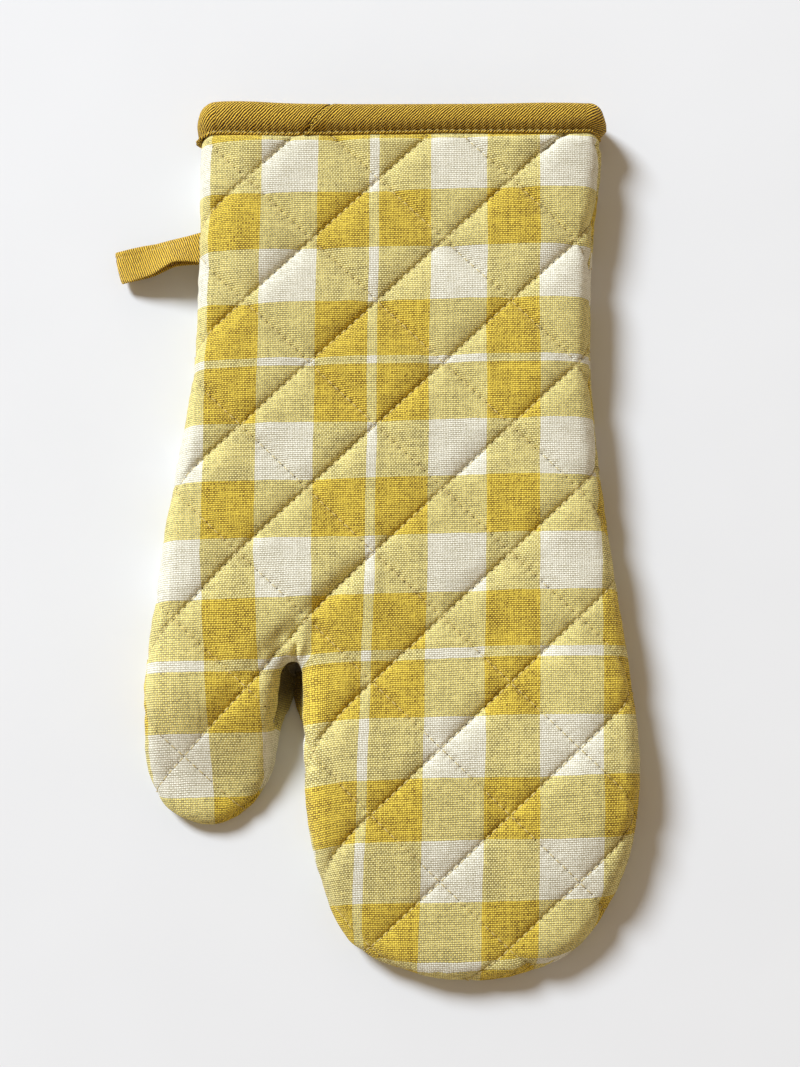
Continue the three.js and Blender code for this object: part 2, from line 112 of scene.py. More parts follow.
# Beside a quilting seam each pad has a round shoulder, and the seam itself is a sharp crease
PAD_SHOULDER = {"depth": 1.75, "reach": 8.0}
PAD_CREASE = {"depth": 0.6, "reach": 1.0}
PAD_UNEVEN = {"by": 0.25, "size": 17, "layer": 7.7}
DEEPEST_ROW = {"row": 3, "from": -1.6, "to": -2.4, "more": 0.3}
EDGE_DIP = {"left": 0.3, "right": 0.75}  # share of a seam's dip left at the mitt's two sides
BACK_EDGE_FLAT = 0.9  # share of the dip lost where the back panel swells past the seam
THUMB_TIP_FLAT = 0.45  # share of the dip lost in the thin padding of the thumb's tip
EDGE_PULL = 0.6

# Between two needle holes the cloth swells beside the seam, and over a rising seam
PUCKER_HEIGHTS = (0.32, 0.14)  # beside seams that rise to the right, and seams that fall
PUCKER_REACH = 1.0
SCALLOP = 0.6
NEEDLE_PIT = {"depth": 0.15, "reach": 0.4}

# The padding is a little uneven all over
UNEVEN_HEIGHT = 0.35
UNEVEN_SIZE = 26
UNEVEN_LAYER = {"front": 0.5, "back": 9.5}  # of the noise

# The thumb is bunched towards the hand, which shifts its cloth
THUMB_SHIFT = {"below": -8, "from": -15, "to": -50}
THUMB_SHIFT_QUILT = np.array((0.09, -0.04))
THUMB_SHIFT_CHECK = np.array((0.0875, -0.055))

# Cuff and binding
CUFF_EDGE = 159.2
CUFF_PRESS_FROM = 146
CUFF_PRESS_TO = 150
CUFF_PRESS = {"front": 2, "back": 3.1}
BINDING_TOP = 162.2
BINDING_LOW = 149.2
BINDING_STEP = 0.5
BINDING_SIDE_DIP = 0.9
BINDING_STITCH_LINE = BINDING_LOW + 1.3
BINDING_DENT = 1.4  # dent that the topstitching presses into the cuff
BINDING_DENT_REACH = 1.6
BINDING_STITCH = 2.9
BINDING_PUCKER = 0.3
BINDING_JOIN = {"low": -36.5, "high": -25.5, "depth": 1.6, "half": 0.6, "height": 0.7}
BINDING_JOIN_RIDGE = {"rises": 0.9, "falls from": 1.2, "to": 6}
BINDING_JOIN_TOP = {"from": BINDING_TOP + 0.5, "to": BINDING_TOP - 1.5}

# How far the binding stands out more at its two ends, by the share of its width from the top
END_STAND_AT = (0.3, 0.65, 1.0)
END_STAND = {"left": (-1.3, -0.2, 2.2), "right": (-1.0, 0.8, 0.1)}

# Where the binding's two long edges really lie, as X and Y
TOP_EDGE = [
    (-90, 160.8),
    (-74, 161.4),
    (-69.5, 162.1),
    (-56, 161.9),
    (-40, 161.2),
    (40, 161.2),
    (52, 161.4),
    (60, 161.4),
    (69.6, 161.6),
    (73, 161.8),
    (80, 161.5),
    (90, 161.3),
]
LOW_EDGE = [
    (-90, 149.6),
    (-69, 149.8),
    (-58, 149.2),
    (-44, 148.9),
    (-30, 149.4),
    (0, 149.9),
    (15, 150.3),
    (40, 150.1),
    (60, 150.0),
    (70, 150.8),
    (90, 150.6),
]

# The binding's section, once round the folded strip: which face of the cuff a point stands on, how
# far off it, and its Y
BINDING_SECTION = [
    ("outer", -1.1, BINDING_LOW + 0.1),
    ("outer", -0.6, BINDING_LOW - 0.15),
    ("outer", -0.1, BINDING_LOW - 0.05),
    ("outer", 0.2, BINDING_LOW + 0.35),
    ("outer", 0.1, BINDING_LOW + 0.8),
    ("outer", -0.7, BINDING_STITCH_LINE),
    ("outer", -0.25, BINDING_LOW + 1.9),
    ("outer", 0.75, BINDING_LOW + 3.0),
    ("outer", 1.9, BINDING_LOW + 4.6),
    ("outer", 2.6, BINDING_LOW + 6.4),
    ("outer", 2.85, BINDING_LOW + 8.2),
    ("outer", 2.7, BINDING_TOP - 3.2),
    ("outer", 2.4, BINDING_TOP - 2.0),
    ("outer", 1.9, BINDING_TOP - 1.0),
    ("outer", 1.2, BINDING_TOP - 0.3),
    ("outer", 0.3, BINDING_TOP),
    ("inner", 0.2, BINDING_TOP - 0.1),
    ("inner", 0.8, BINDING_TOP - 0.6),
    ("inner", 1.2, BINDING_TOP - 1.6),
    ("inner", 1.2, BINDING_TOP - 5),
    ("inner", 1.2, BINDING_LOW + 3),
    ("inner", 1.0, BINDING_LOW + 0.4),
    ("inner", 0.7, BINDING_LOW),
    ("inner", 0.3, BINDING_LOW + 0.2),
    ("inner", 0.15, BINDING_LOW + 1.5),
    ("inner", 0.15, BINDING_TOP - 1.5),
    ("outer", 0.3, BINDING_TOP - 1.4),
    ("outer", 0.1, BINDING_LOW + 6),
    ("outer", -0.3, BINDING_LOW + 3.5),
    ("outer", -1.2, BINDING_STITCH_LINE),
    ("outer", -1.4, BINDING_LOW + 0.3),
]

# Tape loop
LOOP_WIDTH = 13
LOOP_CLOTH = 1.1
LOOP_ROOT = np.array((-75.5, 108))
LOOP_TURN = math.radians(13.5)
LOOP_TUCK = 1.5  # room for its ends, below and above the middle of the side seam
LOOP_TUCK_HALF = 6.5
LOOP_TUCK_FADE = 3
LOOP_TUCK_DEPTH = {"from": SEAM_WIDTH + 5, "to": SEAM_WIDTH + 1}
LOOP_STEP = 0.8
LOOP_SECTION_POINTS = 29
LOOP_LOWEST = 0.02
LOOP_UNDER = {"from": 0.42, "to": 0.6}  # share of its run over which it turns back under itself
LOOP_SLIP = 0.5  # how far the whole tape lies away from the cuff
LOOP_LEG_SLIP = 0.2  # how far its lower leg slides away from the cuff under the arch
LOOP_LEG_SLIP_OUT = {"from": 30, "to": 12}
LOOP_LEG_TILT = 0.6  # tilt of its lower leg, as a share of the upper leg's
LOOP_UPPER_LIFT = 0.5  # how far the tilt lifts its upper leg's middle, as a share of the edge's
LOOP_SWING = 0.3  # how far the tape swings towards the cuff for each millimetre that it sinks
LOOP_WAVE = {"height": 0.25, "turns": 21}  # small waves of its two edges
LOOP_HEM = 0.2  # share of the width above the stitched hem
LOOP_HEM_DENT = {"depth": 0.28, "reach": 0.07}
LOOP_STITCH = 2.6
LOOP_BARE_ENDS = (4.5, 4)  # tape without stitches at its start and its end
LOOP_CLOTH_TURN = math.radians(-38)  # how its cloth lies turned from the binding's

# Beads of thread: their length, width and height, and how they lie in the cloth
QUILTING_BEAD = (2.3, 0.42, 0.36)
TOPSTITCH_BEAD = (2.0, 0.42, 0.36)
BEAD_UNEVEN = 0.08
BEAD_LIFT = {"rising": -0.3, "falling": 0.15}  # as a share of the bead's height
BEAD_CLEAR_OF_EDGE = 0.6  # least depth of a quilting stitch inside the side seam
BINDING_BEAD_SINK = 0.65  # under the cuff's own face
BINDING_BEAD_LOWEST = 0.4  # height above the surface below which the binding has none
HEM_BEAD_SINK = 0.36  # under the tape's face

# Outline of the mitt on its plan, from the cuff's left end round to its right end
SIDE_SEAM = [
    (-75.5, CUFF_EDGE),  # left end of the cuff
    (-75.5, 144),
    (-75.5, 110),
    (-76, 72),
    (-79, 43),
    (-84.5, 12),  # outside of the thumb
    (-88.5, -20),
    (-92, -48),
    (-92.4, -72),
    (-91, -87),  # tip of the thumb
    (-84.6, -99),
    (-72.5, -104.8),
    (-58.5, -101.3),
    (-47.8, -88),  # inside of the thumb
    (-44.2, -69),
    (-43.2, -55.5),
    (-42.2, -50),
    (-40, -47.6),  # top of the notch
    (-37.2, -47.6),
    (-35.8, -50),
    (-35.4, -56),
    (-35.2, -78),  # left side of the hand
    (-33.2, -104),
    (-27.3, -129.5),
    (-17.2, -147),  # fingertips
    (0.3, -156.3),
    (22, -159.7),
    (43, -157),
    (62, -148.5),
    (75.5, -131),  # right side of the hand
    (83.5, -109),
    (86, -84),
    (83.2, -52),
    (79, -22),
    (75, 8),
    (71.6, 40),
    (70.6, 76),
    (72.4, 112),
    (75.8, 141),
    (76.2, 152),
    (76.2, CUFF_EDGE),  # right end of the cuff
]

# Run of the loop's tape, out from the seam and back: distance out and height
LOOP_RUN = [
    (-2.6, 9.75),
    (0, 9.6),
    (6, 8.8),
    (14, 7.4),
    (22, 5.8),
    (28, 4.6),
    (31.4, 3.0),
    (30.0, 1.2),
    (26, 0.8),
    (19, 0.8),
    (11, 2.0),
    (5, 5.2),
    (0, 8.1),
    (-2.6, 8.25),
]

# Tilt of the loop's tape, its edge away from the cuff raised: distance out and degrees
LOOP_TILT = [
    (-2.6, 8),
    (0, 14),
    (2, 20),
    (5.6, 29),
    (10.4, 35),
    (14.8, 27),
    (20.8, 12),
    (29, 5),
    (32, 4),
]

# Soft troughs and ridges of the front: ends, reach and height. They lie where the thumb joins the
# hand, and one at the cuff
FOLDS = [
    {"ends": ((-19, -17), (-49, -44)), "reach": 3.0, "height": -0.9},
    {"ends": ((-49, -44), (-70, -70)), "reach": 2.5, "height": -0.4},
    {"ends": ((-36.9, -41.5), (-37.2, -48)), "reach": 0.9, "height": -1.8},
    {"ends": ((-34.4, -32), (-35.4, -47)), "reach": 1.6, "height": 1.1},
    {"ends": ((-40.5, -40), (-38.9, -47)), "reach": 1.3, "height": 0.9},
    {"ends": ((-31, -37), (-31.5, -44)), "reach": 1.6, "height": -0.8},
    {"ends": ((-29.5, -34), (-26, -38)), "reach": 1.6, "height": -1.3},
    {"ends": ((-43, -38), (-46, -47)), "reach": 2.0, "height": -0.7},
    {"ends": ((54, 143.4), (61.5, 149.6)), "reach": 1.1, "height": -1.6},
]

# Spacing of the faces
PAD_POINTS = {"front": 33, "back": 22, "lining": 8}  # in one step of the quilting
SEAM_BAND = 1.7
SEAM_POINTS = {"front": 66, "back": 44}
SEAM_ROWS = (-1.4, -0.95, -0.6, -0.3, 0, 0.3, 0.6, 0.95, 1.4)  # rows of points beside a seam
EDGE_DEPTHS = np.linspace(0, EDGE_ROLL, 15)
LINING_DEPTHS = np.array((0, 3, 5, 8))
OUTER_MARGIN = 0.3  # bare ring between the rows along the edge and the quilting's lattice
LINING_MARGIN = 2
EDGE_STEP = 0.8
SEAM_STEP = 0.4
ON_SEAM = 0.05  # nearer to the seam than this, the seam's own direction holds
MOUTH_LEFT = SIDE_SEAM[0][0]
MOUTH_RIGHT = SIDE_SEAM[-1][0]
MOUTH_POINTS = 174  # between the padded edges
MOUTH_X = np.concatenate(
    [
        MOUTH_LEFT + EDGE_DEPTHS,
        np.linspace(MOUTH_LEFT + EDGE_ROLL, MOUTH_RIGHT - EDGE_ROLL, MOUTH_POINTS)[1:-1],
        MOUTH_RIGHT - EDGE_DEPTHS[::-1],
    ]
)

# Grid over the plan on which the crown is blurred
GRID_STEP = 2
GRID_X = np.arange(-112, 108, GRID_STEP)
GRID_Y = np.arange(-180, 184, GRID_STEP)

# The check: bands of mustard yarn either side of a thin white stripe, in flat cloth
WARP_PITCH = 0.60
WEFT_PITCH = 0.75
LINING_PITCH = 0.55
WARP_CHECK = {"middle": -10.05, "half": 51.7, "edges": (1.7, 20.9, 42.1)}
WEFT_CHECK = {"middle": 62.9, "half": 53.7, "edges": (1.7, 22.3, 43.1)}

# How its yarns lean, spread and waver, and where the side seam draws them in
WARP_LEAN = {"by": 0.0105, "about": 62}
WEFT_LEAN = {"by": 0.023, "about": 18}
HAND_SPREAD = {"below": -11, "by": 0.02, "x": {"from": 50, "to": -10}}
HAND_SIDE_X = {"from": -24, "to": -34}
HAND_SIDE_TOP = {"from": -44, "to": -50}
HAND_SIDE_END = {"from": -118, "to": -100}
HAND_SIDE_DRAWN = 2.8
RIGHT_DRAWN = {"x": {"from": 45, "to": 70}, "y": {"from": 20, "to": 140}, "low": 1.2, "high": 2}
THUMB_DRAWN = {"x": {"from": -82, "to": -92}, "y": {"from": -10, "to": -40}, "by": 2}
FINGER_STRETCH = {"below": -50, "by": 1.028}
YARN_WAVER = [
    {"by": 0.35, "size": 30, "warp": 3.1, "weft": 5.7},
    {"by": 0.08, "size": 6, "warp": 4.2, "weft": 6.4},
]

# Spots on the plan: points, how deep inside the side seam they lie, and the way into the mitt
Spots = namedtuple("Spots", "point depth away")


def picked(spots, keep):
    return Spots(*(field[keep] for field in spots))


def joined(*groups):
    return Spots(*(np.concatenate(fields) for fields in zip(*groups)))


def clamp01(value):
    return np.clip(value, 0.0, 1.0)


def smooth(start, end, value):
    share = clamp01((value - start) / (end - start))
    return share * share * (3 - 2 * share)


def faded(reach, value):
    """0 before the reach's start and 1 past its end, soft between them."""
    return smooth(reach["from"], reach["to"], value)


def lerp(start, end, share):
    return start + (end - start) * share


def hashed(*numbers):
    """A fixed number from 0 to 1 for each set of whole numbers."""
    mixed = sum(number * factor for number, factor in zip(numbers, (12.9898, 78.233, 37.719)))
    return np.modf(np.abs(np.sin(mixed + 1.3) * 43758.5453))[0]


def unevenness(points, size, layer):
    """Soft noise from about -1 to 1 over the plan."""
    return np.array([noise.noise((x / size, y / size, layer)) for x, y in points]) * 1.6


def smooth_run(points, parts=30):
    """Fine polyline on a centripetal Catmull-Rom curve through the points."""
    points = np.array(points, float)
    chain = np.vstack([2 * points[0] - points[1], points, 2 * points[-1] - points[-2]])
    gaps = np.sqrt(np.linalg.norm(np.diff(chain, axis=0), axis=1))
    t = np.linspace(0, 1, parts, endpoint=False)[:, None]
    runs = []
    for i in range(1, len(chain) - 2):
        before, start, end, after = chain[i - 1 : i + 3]
        lead, gap, follow = gaps[i - 1 : i + 2]
        leave = (start - before) / lead - (end - before) / (lead + gap) + (end - start) / gap
        arrive = (end - start) / gap - (after - start) / (gap + follow) + (after - end) / follow
        runs.append(
            (2 * t**3 - 3 * t**2 + 1) * start
            + (t**3 - 2 * t**2 + t) * gap * leave
            + (3 * t**2 - 2 * t**3) * end
            + (t**3 - t**2) * gap * arrive
        )
    return np.vstack([*runs, points[-1:]])


def distance_along(run):
    lengths = np.linalg.norm(np.diff(run, axis=0), axis=1)
    return np.concatenate([[0], np.cumsum(lengths)])


def run_at(at, along, run):
    """Points of a polyline at some distances, by its measure along."""
    return np.column_stack([np.interp(at, along, axis) for axis in run.T])


def spaced(run, step, along=None):
    """Points spread evenly over a polyline, about one step apart by its measure along."""
    along = distance_along(run) if along is None else along
    count = max(1, round(along[-1] / step))
    return run_at(np.linspace(0, along[-1], count + 1), along, run)


def unit(vectors):
    return vectors / np.linalg.norm(vectors, axis=-1, keepdims=True)


def plan_turn(turn):
    """Matrix that turns rows of X and Y counterclockwise."""
    return np.array(((math.cos(turn), math.sin(turn)), (-math.sin(turn), math.cos(turn))))


def inward_of(run):
    """Direction into the mitt at each point of the side seam, level with the cuff at its ends."""
    along = np.gradient(run, axis=0)
    inward = unit(np.column_stack([-along[:, 1], along[:, 0]]))
    inward[0] = (1, 0)
    inward[-1] = (-1, 0)
    return inward


top_edge = smooth_run(TOP_EDGE)
low_edge = smooth_run(LOW_EDGE)


def stitch_line(x):
    """Y of the binding's topstitching across the cuff."""
    share = (BINDING_STITCH_LINE - BINDING_LOW) / (BINDING_TOP - BINDING_LOW)
    return lerp(np.interp(x, *low_edge.T), np.interp(x, *top_edge.T), share)


seam = spaced(smooth_run(SIDE_SEAM), SEAM_STEP)
seam_inward = inward_of(seam)
seam_tree = kdtree.KDTree(len(seam))
for number, (seam_x, seam_y) in enumerate(seam):
    seam_tree.insert((seam_x, seam_y, 0), number)
seam_tree.balance()


def from_seam(points):
    """The plan points as spots: distance from the side seam, below 0 outside it, and direction."""
    nearest = np.array([seam_tree.find((x, y, 0))[1] for x, y in points])
    best_gap = points - seam[nearest]
    best = np.linalg.norm(best_gap, axis=1)
    for neighbour in (-1, 1):
        start = seam[nearest]
        run = seam[np.clip(nearest + neighbour, 0, len(seam) - 1)] - start
        length = np.maximum((run * run).sum(axis=1), 1e-12)
        share = clamp01(((points - start) * run).sum(axis=1) / length)
        gap = points - start - run * share[:, None]
        distance = np.linalg.norm(gap, axis=1)
        nearer = distance < best
        best_gap[nearer] = gap[nearer]
        best[nearer] = distance[nearer]
    inward = seam_inward[nearest]
    sign = np.where((best_gap * inward).sum(axis=1) < 0, -1, 1)
    on_seam = (best < ON_SEAM)[:, None]
    away = np.where(on_seam, inward, best_gap * (sign / np.maximum(best, 1e-9))[:, None])
    return Spots(points, best * sign, away)


def thumb_share(points):
    """How far down the thumb a point lies, for the shift of its bunched cloth."""
    across = faded(THUMB_SHIFT, points[:, 0])
    return (across * np.maximum(THUMB_SHIFT["below"] - points[:, 1], 0))[:, None]


def quilt_place(points):
    """Place of flat cloth in the quilting's lattice: seams lie at whole numbers."""
    px, py = (points - thumb_share(points) * THUMB_SHIFT_QUILT - QUILT_ORIGIN).T
    down_x, down_y = QUILT_STEP_DOWN
    up_x, up_y = QUILT_STEP_UP
    area = down_x * up_y - down_y * up_x
    return (px * up_y - py * up_x) / area, (py * down_x - px * down_y) / area


def quilt_point(down, up):
    """Plan points at places in the lattice: a few turns settle the thumb's shift."""
    regular = QUILT_ORIGIN + np.outer(down, QUILT_STEP_DOWN) + np.outer(up, QUILT_STEP_UP)
    points = regular
    for _ in range(6):
        points = regular + thumb_share(points) * THUMB_SHIFT_QUILT
    return points


def hand_side(points):
    """1 at the hand's left side, beside the thumb, where the cloth is drawn into the seam."""
    x, y = points.T
    below_notch = faded(HAND_SIDE_TOP, y) * faded(HAND_SIDE_END, y)
    return faded(HAND_SIDE_X, x) * below_notch * (x > NOTCH[0])


def check_place(points):
    """Place of flat cloth in the check, whose yarns lean and stretch a little."""
    x, y = (points - thumb_share(points) * THUMB_SHIFT_CHECK).T
    at_right = faded(RIGHT_DRAWN["x"], x)
    drawn = at_right * lerp(RIGHT_DRAWN["low"], RIGHT_DRAWN["high"], faded(RIGHT_DRAWN["y"], y))
    at_thumb = faded(THUMB_DRAWN["x"], x) * faded(THUMB_DRAWN["y"], y)
    drawn = drawn - THUMB_DRAWN["by"] * at_thumb
    spread = HAND_SPREAD["by"] * np.maximum(HAND_SPREAD["below"] - y, 0)
    spread = spread * faded(HAND_SPREAD["x"], x) + HAND_SIDE_DRAWN * hand_side(points)
    u = x - WARP_LEAN["by"] * (y - WARP_LEAN["about"]) + spread - drawn
    v = y - WEFT_LEAN["by"] * (x - WEFT_LEAN["about"])
    below = FINGER_STRETCH["below"]
    v = np.where(v < below, below + (v - below) / FINGER_STRETCH["by"], v)
    waver = [
        sum(wave["by"] * unevenness(points, wave["size"], wave[yarns]) for wave in YARN_WAVER)
        for yarns in ("warp", "weft")
    ]
    return np.column_stack([u + waver[0], v + waver[1]])


def crown(distance, reach):
    share = clamp01(distance / reach)
    return share * (2 - share)


def front_crown(depth):
    """Height of the front above its rolled edge."""
    hollow = CROWN_HOLLOW * smooth(CROWN_REACH, 3 * CROWN_REACH, depth)
    return CROWN_RISE * crown(depth, CROWN_REACH) - hollow


def blurred(grid, reach):
    """The grid under a bell-shaped blur, reach in cells."""
    offsets = np.arange(-3 * reach, 3 * reach + 1)
    weights = np.exp(-0.5 * (offsets / reach) ** 2)
    weights /= weights.sum()
    for axis in (0, 1):
        grid = np.apply_along_axis(lambda row: np.convolve(row, weights, "same"), axis, grid)
    return grid


def softened_crown():
    """The front's crown on a grid over the plan, blurred where its slopes meet."""
    across, along = np.meshgrid(GRID_X, GRID_Y)
    spots = from_seam(np.column_stack([across.ravel(), along.ravel()]).astype(float))
    height = front_crown(spots.depth).reshape(across.shape)
    inside = (spots.depth > 0).reshape(across.shape).astype(float)
    covered = np.maximum(blurred(inside, CROWN_BLUR), 0.05)
    return blurred(height * inside, CROWN_BLUR) / covered


crown_grid = softened_crown()


def from_grid(grid, points):
    """Values of a grid over the plan at points between its nodes."""
    x = (points[:, 0] - GRID_X[0]) / GRID_STEP
    y = (points[:, 1] - GRID_Y[0]) / GRID_STEP
    i = np.clip(x.astype(int), 0, len(GRID_X) - 2)
    j = np.clip(y.astype(int), 0, len(GRID_Y) - 2)
    a, b = x - i, y - j
    low = lerp(grid[j, i], grid[j, i + 1], a)
    high = lerp(grid[j + 1, i], grid[j + 1, i + 1], a)
    return lerp(low, high, b)


def crown_height(spots):
    sharp = front_crown(spots.depth)
    soft = from_grid(crown_grid, spots.point)
    return lerp(sharp, soft, faded(CROWN_SOFT, spots.depth))


def loop_tuck(spots):
    """Room for the loop's ends between the two panels."""
    aside = np.abs(spots.point[:, 1] - LOOP_ROOT[1])
    along = 1 - smooth(LOOP_TUCK_HALF, LOOP_TUCK_HALF + LOOP_TUCK_FADE, aside)
    return LOOP_TUCK * along * faded(LOOP_TUCK_DEPTH, spots.depth) * (spots.point[:, 0] < 0)


def edge_turn(spots):
    """Turn of the padded edge: 0 at the side seam, where it stands upright, a quarter on top."""
    return clamp01(spots.depth / EDGE_ROLL) * QUARTER_TURN


def flat_cloth(spots):
    """Where the cloth at the spots lies once the padded edge is rolled out flat."""
    turn = edge_turn(spots)
    reach = EDGE_ROLL * (1 - QUARTER_TURN + turn)
    rolled_out = np.where(spots.depth < EDGE_ROLL, reach - spots.depth, 0)
    return spots.point + spots.away * rolled_out[:, None]


def padded_shell(side, spots, pull, inset=0.0, rise=0.0):
    """Places on the padded shell, drawn in by pull along its own normal, then inset and raised."""
    turn = edge_turn(spots)
    level, upright = np.cos(turn), np.sin(turn)
    reach = np.where(spots.depth < EDGE_ROLL, EDGE_ROLL * (1 - level), spots.depth)
    inward = reach - spots.depth + level * pull + inset
    plan = spots.point + spots.away * inward[:, None]
    gap = (SEAM_GAP + loop_tuck(spots)) * (1 - smooth(0, SEAM_GAP_TURN, turn))
    if side == "front":
        height = SEAM_HEIGHT + gap + (EDGE_RISE - pull) * upright
        height += crown_height(spots) + rise
    else:
        bare = SEAM_HEIGHT - gap - (BACK_DROP - pull) * upright - rise
        height = (bare + np.hypot(bare, BACK_SOFTNESS)) / 2
    return np.column_stack([plan, height])


def beat(stitches_along):
    """0 at each needle hole of a seam and 1 half way between two of them."""
    return 0.5 - 0.5 * np.cos(2 * math.pi * stitches_along)


def beside_seams(down, up):
    """For both rows of seams: signed distance from the seam in millimetres, its row, and the
    place along it."""
    rising, falling = np.round(down), np.round(up)
    over_rising = (down - rising) * ROW_SPACING_DOWN + SCALLOP * beat(STITCHES_A_STEP * up)
    over_falling = (up - falling) * ROW_SPACING_UP
    return (over_rising, rising, up), (over_falling, falling, down)


def seam_dip(off):
    """How far a quilting seam draws the cloth in, by the distance from it."""
    shoulder = PAD_SHOULDER["depth"] * np.maximum(1 - off / PAD_SHOULDER["reach"], 0) ** 2
    return shoulder + PAD_CREASE["depth"] * np.exp(-off / PAD_CREASE["reach"])


def quilting_dip(points, down, up):
    """How far the two rows of seams draw the cloth in together."""
    uneven = 1 + PAD_UNEVEN["by"] * unevenness(points, PAD_UNEVEN["size"], PAD_UNEVEN["layer"])
    (over_rising, rising, _), (over_falling, _, _) = beside_seams(down, up)
    deeper = (rising == DEEPEST_ROW["row"]) * faded(DEEPEST_ROW, up)
    first = seam_dip(np.abs(over_rising)) * (1 + DEEPEST_ROW["more"] * deeper)
    second = seam_dip(np.abs(over_falling))
    return (first + second - first * second / seam_dip(0.0)) * uneven


def puckers(down, up):
    """Lobes of cloth between the needle holes of each quilting seam, and pits at the holes."""
    height = 0
    for (over, row, along), swell in zip(beside_seams(down, up), PUCKER_HEIGHTS):
        off = np.abs(over) / PUCKER_REACH
        stitches_along = along * STITCHES_A_STEP
        strength = 0.5 + hashed(row, np.floor(stitches_along), np.sign(over))
        height = height + swell * off * np.exp(1 - off) * beat(stitches_along) * strength
        to_hole = np.abs(np.mod(stitches_along + 0.5, 1) - 0.5)
        to_hole = to_hole * ROW_SPACING_DOWN / STITCHES_A_STEP
        near = np.exp(-(over**2 + to_hole**2) / NEEDLE_PIT["reach"] ** 2)
        height = height - NEEDLE_PIT["depth"] * near
    return height


def fold_height(points):
    """Troughs and ridges placed one by one on the front."""
    height = np.zeros(len(points))
    for fold in FOLDS:
        start, end = (np.array(end, float) for end in fold["ends"])
        run = end - start
        share = clamp01(((points - start) @ run) / (run @ run))
        off = np.linalg.norm(points - start - share[:, None] * run, axis=1)
        height += fold["height"] * np.exp(-((off / fold["reach"]) ** 2))
    return height


def thumb_tip(points):
    """1 at the tip of the thumb, where the padding is thin and its quilting shallow."""
    return faded(THUMB_TIP_Y, points[:, 1]) * faded(THUMB_TIP_X, points[:, 0])


def on_right(spots):
    """1 where the padded edge faces right or down, and 0 where it faces left."""
    return faded(FACING_RIGHT, -(spots.away @ LOWER_RIGHT))


def quilted_pull(side, spots, cloth):
    """How far the quilting and the cuff's binding draw the outer face in at each spot."""
    down, up = quilt_place(cloth)
    level = np.cos(edge_turn(spots))
    edge_dip = lerp(EDGE_DIP["left"], EDGE_DIP["right"], on_right(spots))
    share = lerp(1, edge_dip, level)
    if side == "back":
        share = share * (1 - BACK_EDGE_FLAT * level * on_right(spots))
    share = share * (1 - THUMB_TIP_FLAT * thumb_tip(spots.point))
    quilting = (quilting_dip(spots.point, down, up) - puckers(down, up)) * share
    pressed = smooth(CUFF_PRESS_FROM, CUFF_PRESS_TO, spots.point[:, 1])
    cuff = lerp(CUFF_PRESS[side], EDGE_PULL, level)
    off_stitching = (spots.point[:, 1] - stitch_line(spots.point[:, 0])) / BINDING_DENT_REACH
    cuff = cuff + BINDING_DENT * np.exp(-(off_stitching**2))
    return lerp(quilting, cuff, pressed)


def seam_inset(spots):
    """The groove of the side seam, as a distance into the mitt."""
    turn = edge_turn(spots)
    return GROOVE_DEPTH * np.maximum(1 - turn / GROOVE_TURN, 0) ** 2


def back_swell(spots):
    """How far the back panel's edge stands out past the seam: on the right and lower right, and
    low in the notch, which it nearly closes there."""
    turn = edge_turn(spots)
    out = np.sin(math.pi * clamp01(turn / BACK_SWELL_TURN))
    below_cuff = smooth(CUFF_PRESS_TO, CUFF_PRESS_FROM, spots.point[:, 1])
    from_notch = np.linalg.norm(spots.point - NOTCH, axis=1)
    start, full, still_full, end = NOTCH_TURNS
    low = smooth(start, full, turn) * smooth(end, still_full, turn)
    notch = NOTCH_SWELL * smooth(NOTCH_REACH, NOTCH_REACH / 3, from_notch)
    return out * BACK_SWELL * on_right(spots) * below_cuff + low * notch


def notch_shade(side, spots):
    """1 on the back panel's edge deep in the notch, where hardly any light falls: the mask of
    painted shade there.
    """
    if side == "front":
        return np.zeros(len(spots.point))
    still_full, end = NOTCH_TURNS[2:]
    from_notch = np.linalg.norm(spots.point - NOTCH, axis=1)
    return faded(NOTCH_SHADE, from_notch) * smooth(end, still_full, edge_turn(spots))


def drooped(places, points):
    """The places, lowered towards the thin tips of the thumb and the hand."""
    on_thumb = faded(THUMB_X, points[:, 0])
    for droop, share in ((THUMB_DROOP, on_thumb), (FINGER_DROOP, 1 - on_thumb)):
        down = faded(droop, points[:, 1]) * share
        places[:, 2] *= lerp(1, droop["left"], down)
    return places


def outer_face(side, spots):
    """Places of a panel's outer face over the spots, with its padding, seams and folds."""
    cloth = flat_cloth(spots)
    turn = edge_turn(spots)
    layer = UNEVEN_LAYER[side]
    bare = 1 - smooth(CUFF_PRESS_FROM, CUFF_PRESS_TO, spots.point[:, 1])
    rise = UNEVEN_HEIGHT * unevenness(spots.point, UNEVEN_SIZE, layer) * np.sin(turn) * bare
    crimp = EDGE_PUCKER * unevenness(cloth, EDGE_PUCKER_SIZE, layer + 1)
    inset = seam_inset(spots) + crimp * np.sin(2 * turn) * bare
    if side == "front":
        rise = rise + fold_height(spots.point) * np.sin(turn)
    else:
        inset = inset - back_swell(spots)
    places = padded_shell(side, spots, quilted_pull(side, spots, cloth), inset, rise)
    return drooped(places, spots.point)


def inner_face(side, spots):
    """Places of a panel's inner face over the spots."""
    tucked = 1 - clamp01(spots.depth / SEAM_WIDTH)
    inset = (GROOVE_DEPTH + EDGE_PULL * 2) * tucked
    rise = (
        SEAM_GAP
        + loop_tuck(spots)
        + POCKET_BLUNT * clamp01((spots.depth - SEAM_WIDTH) / POCKET_BLUNT_REACH)
        + POCKET_RISE[side] * crown(spots.depth - SEAM_WIDTH, POCKET_REACH)
    )
    sign = 1 if side == "front" else -1
    plan = spots.point + spots.away * inset[:, None]
    return drooped(np.column_stack([plan, SEAM_HEIGHT + sign * rise]), spots.point)


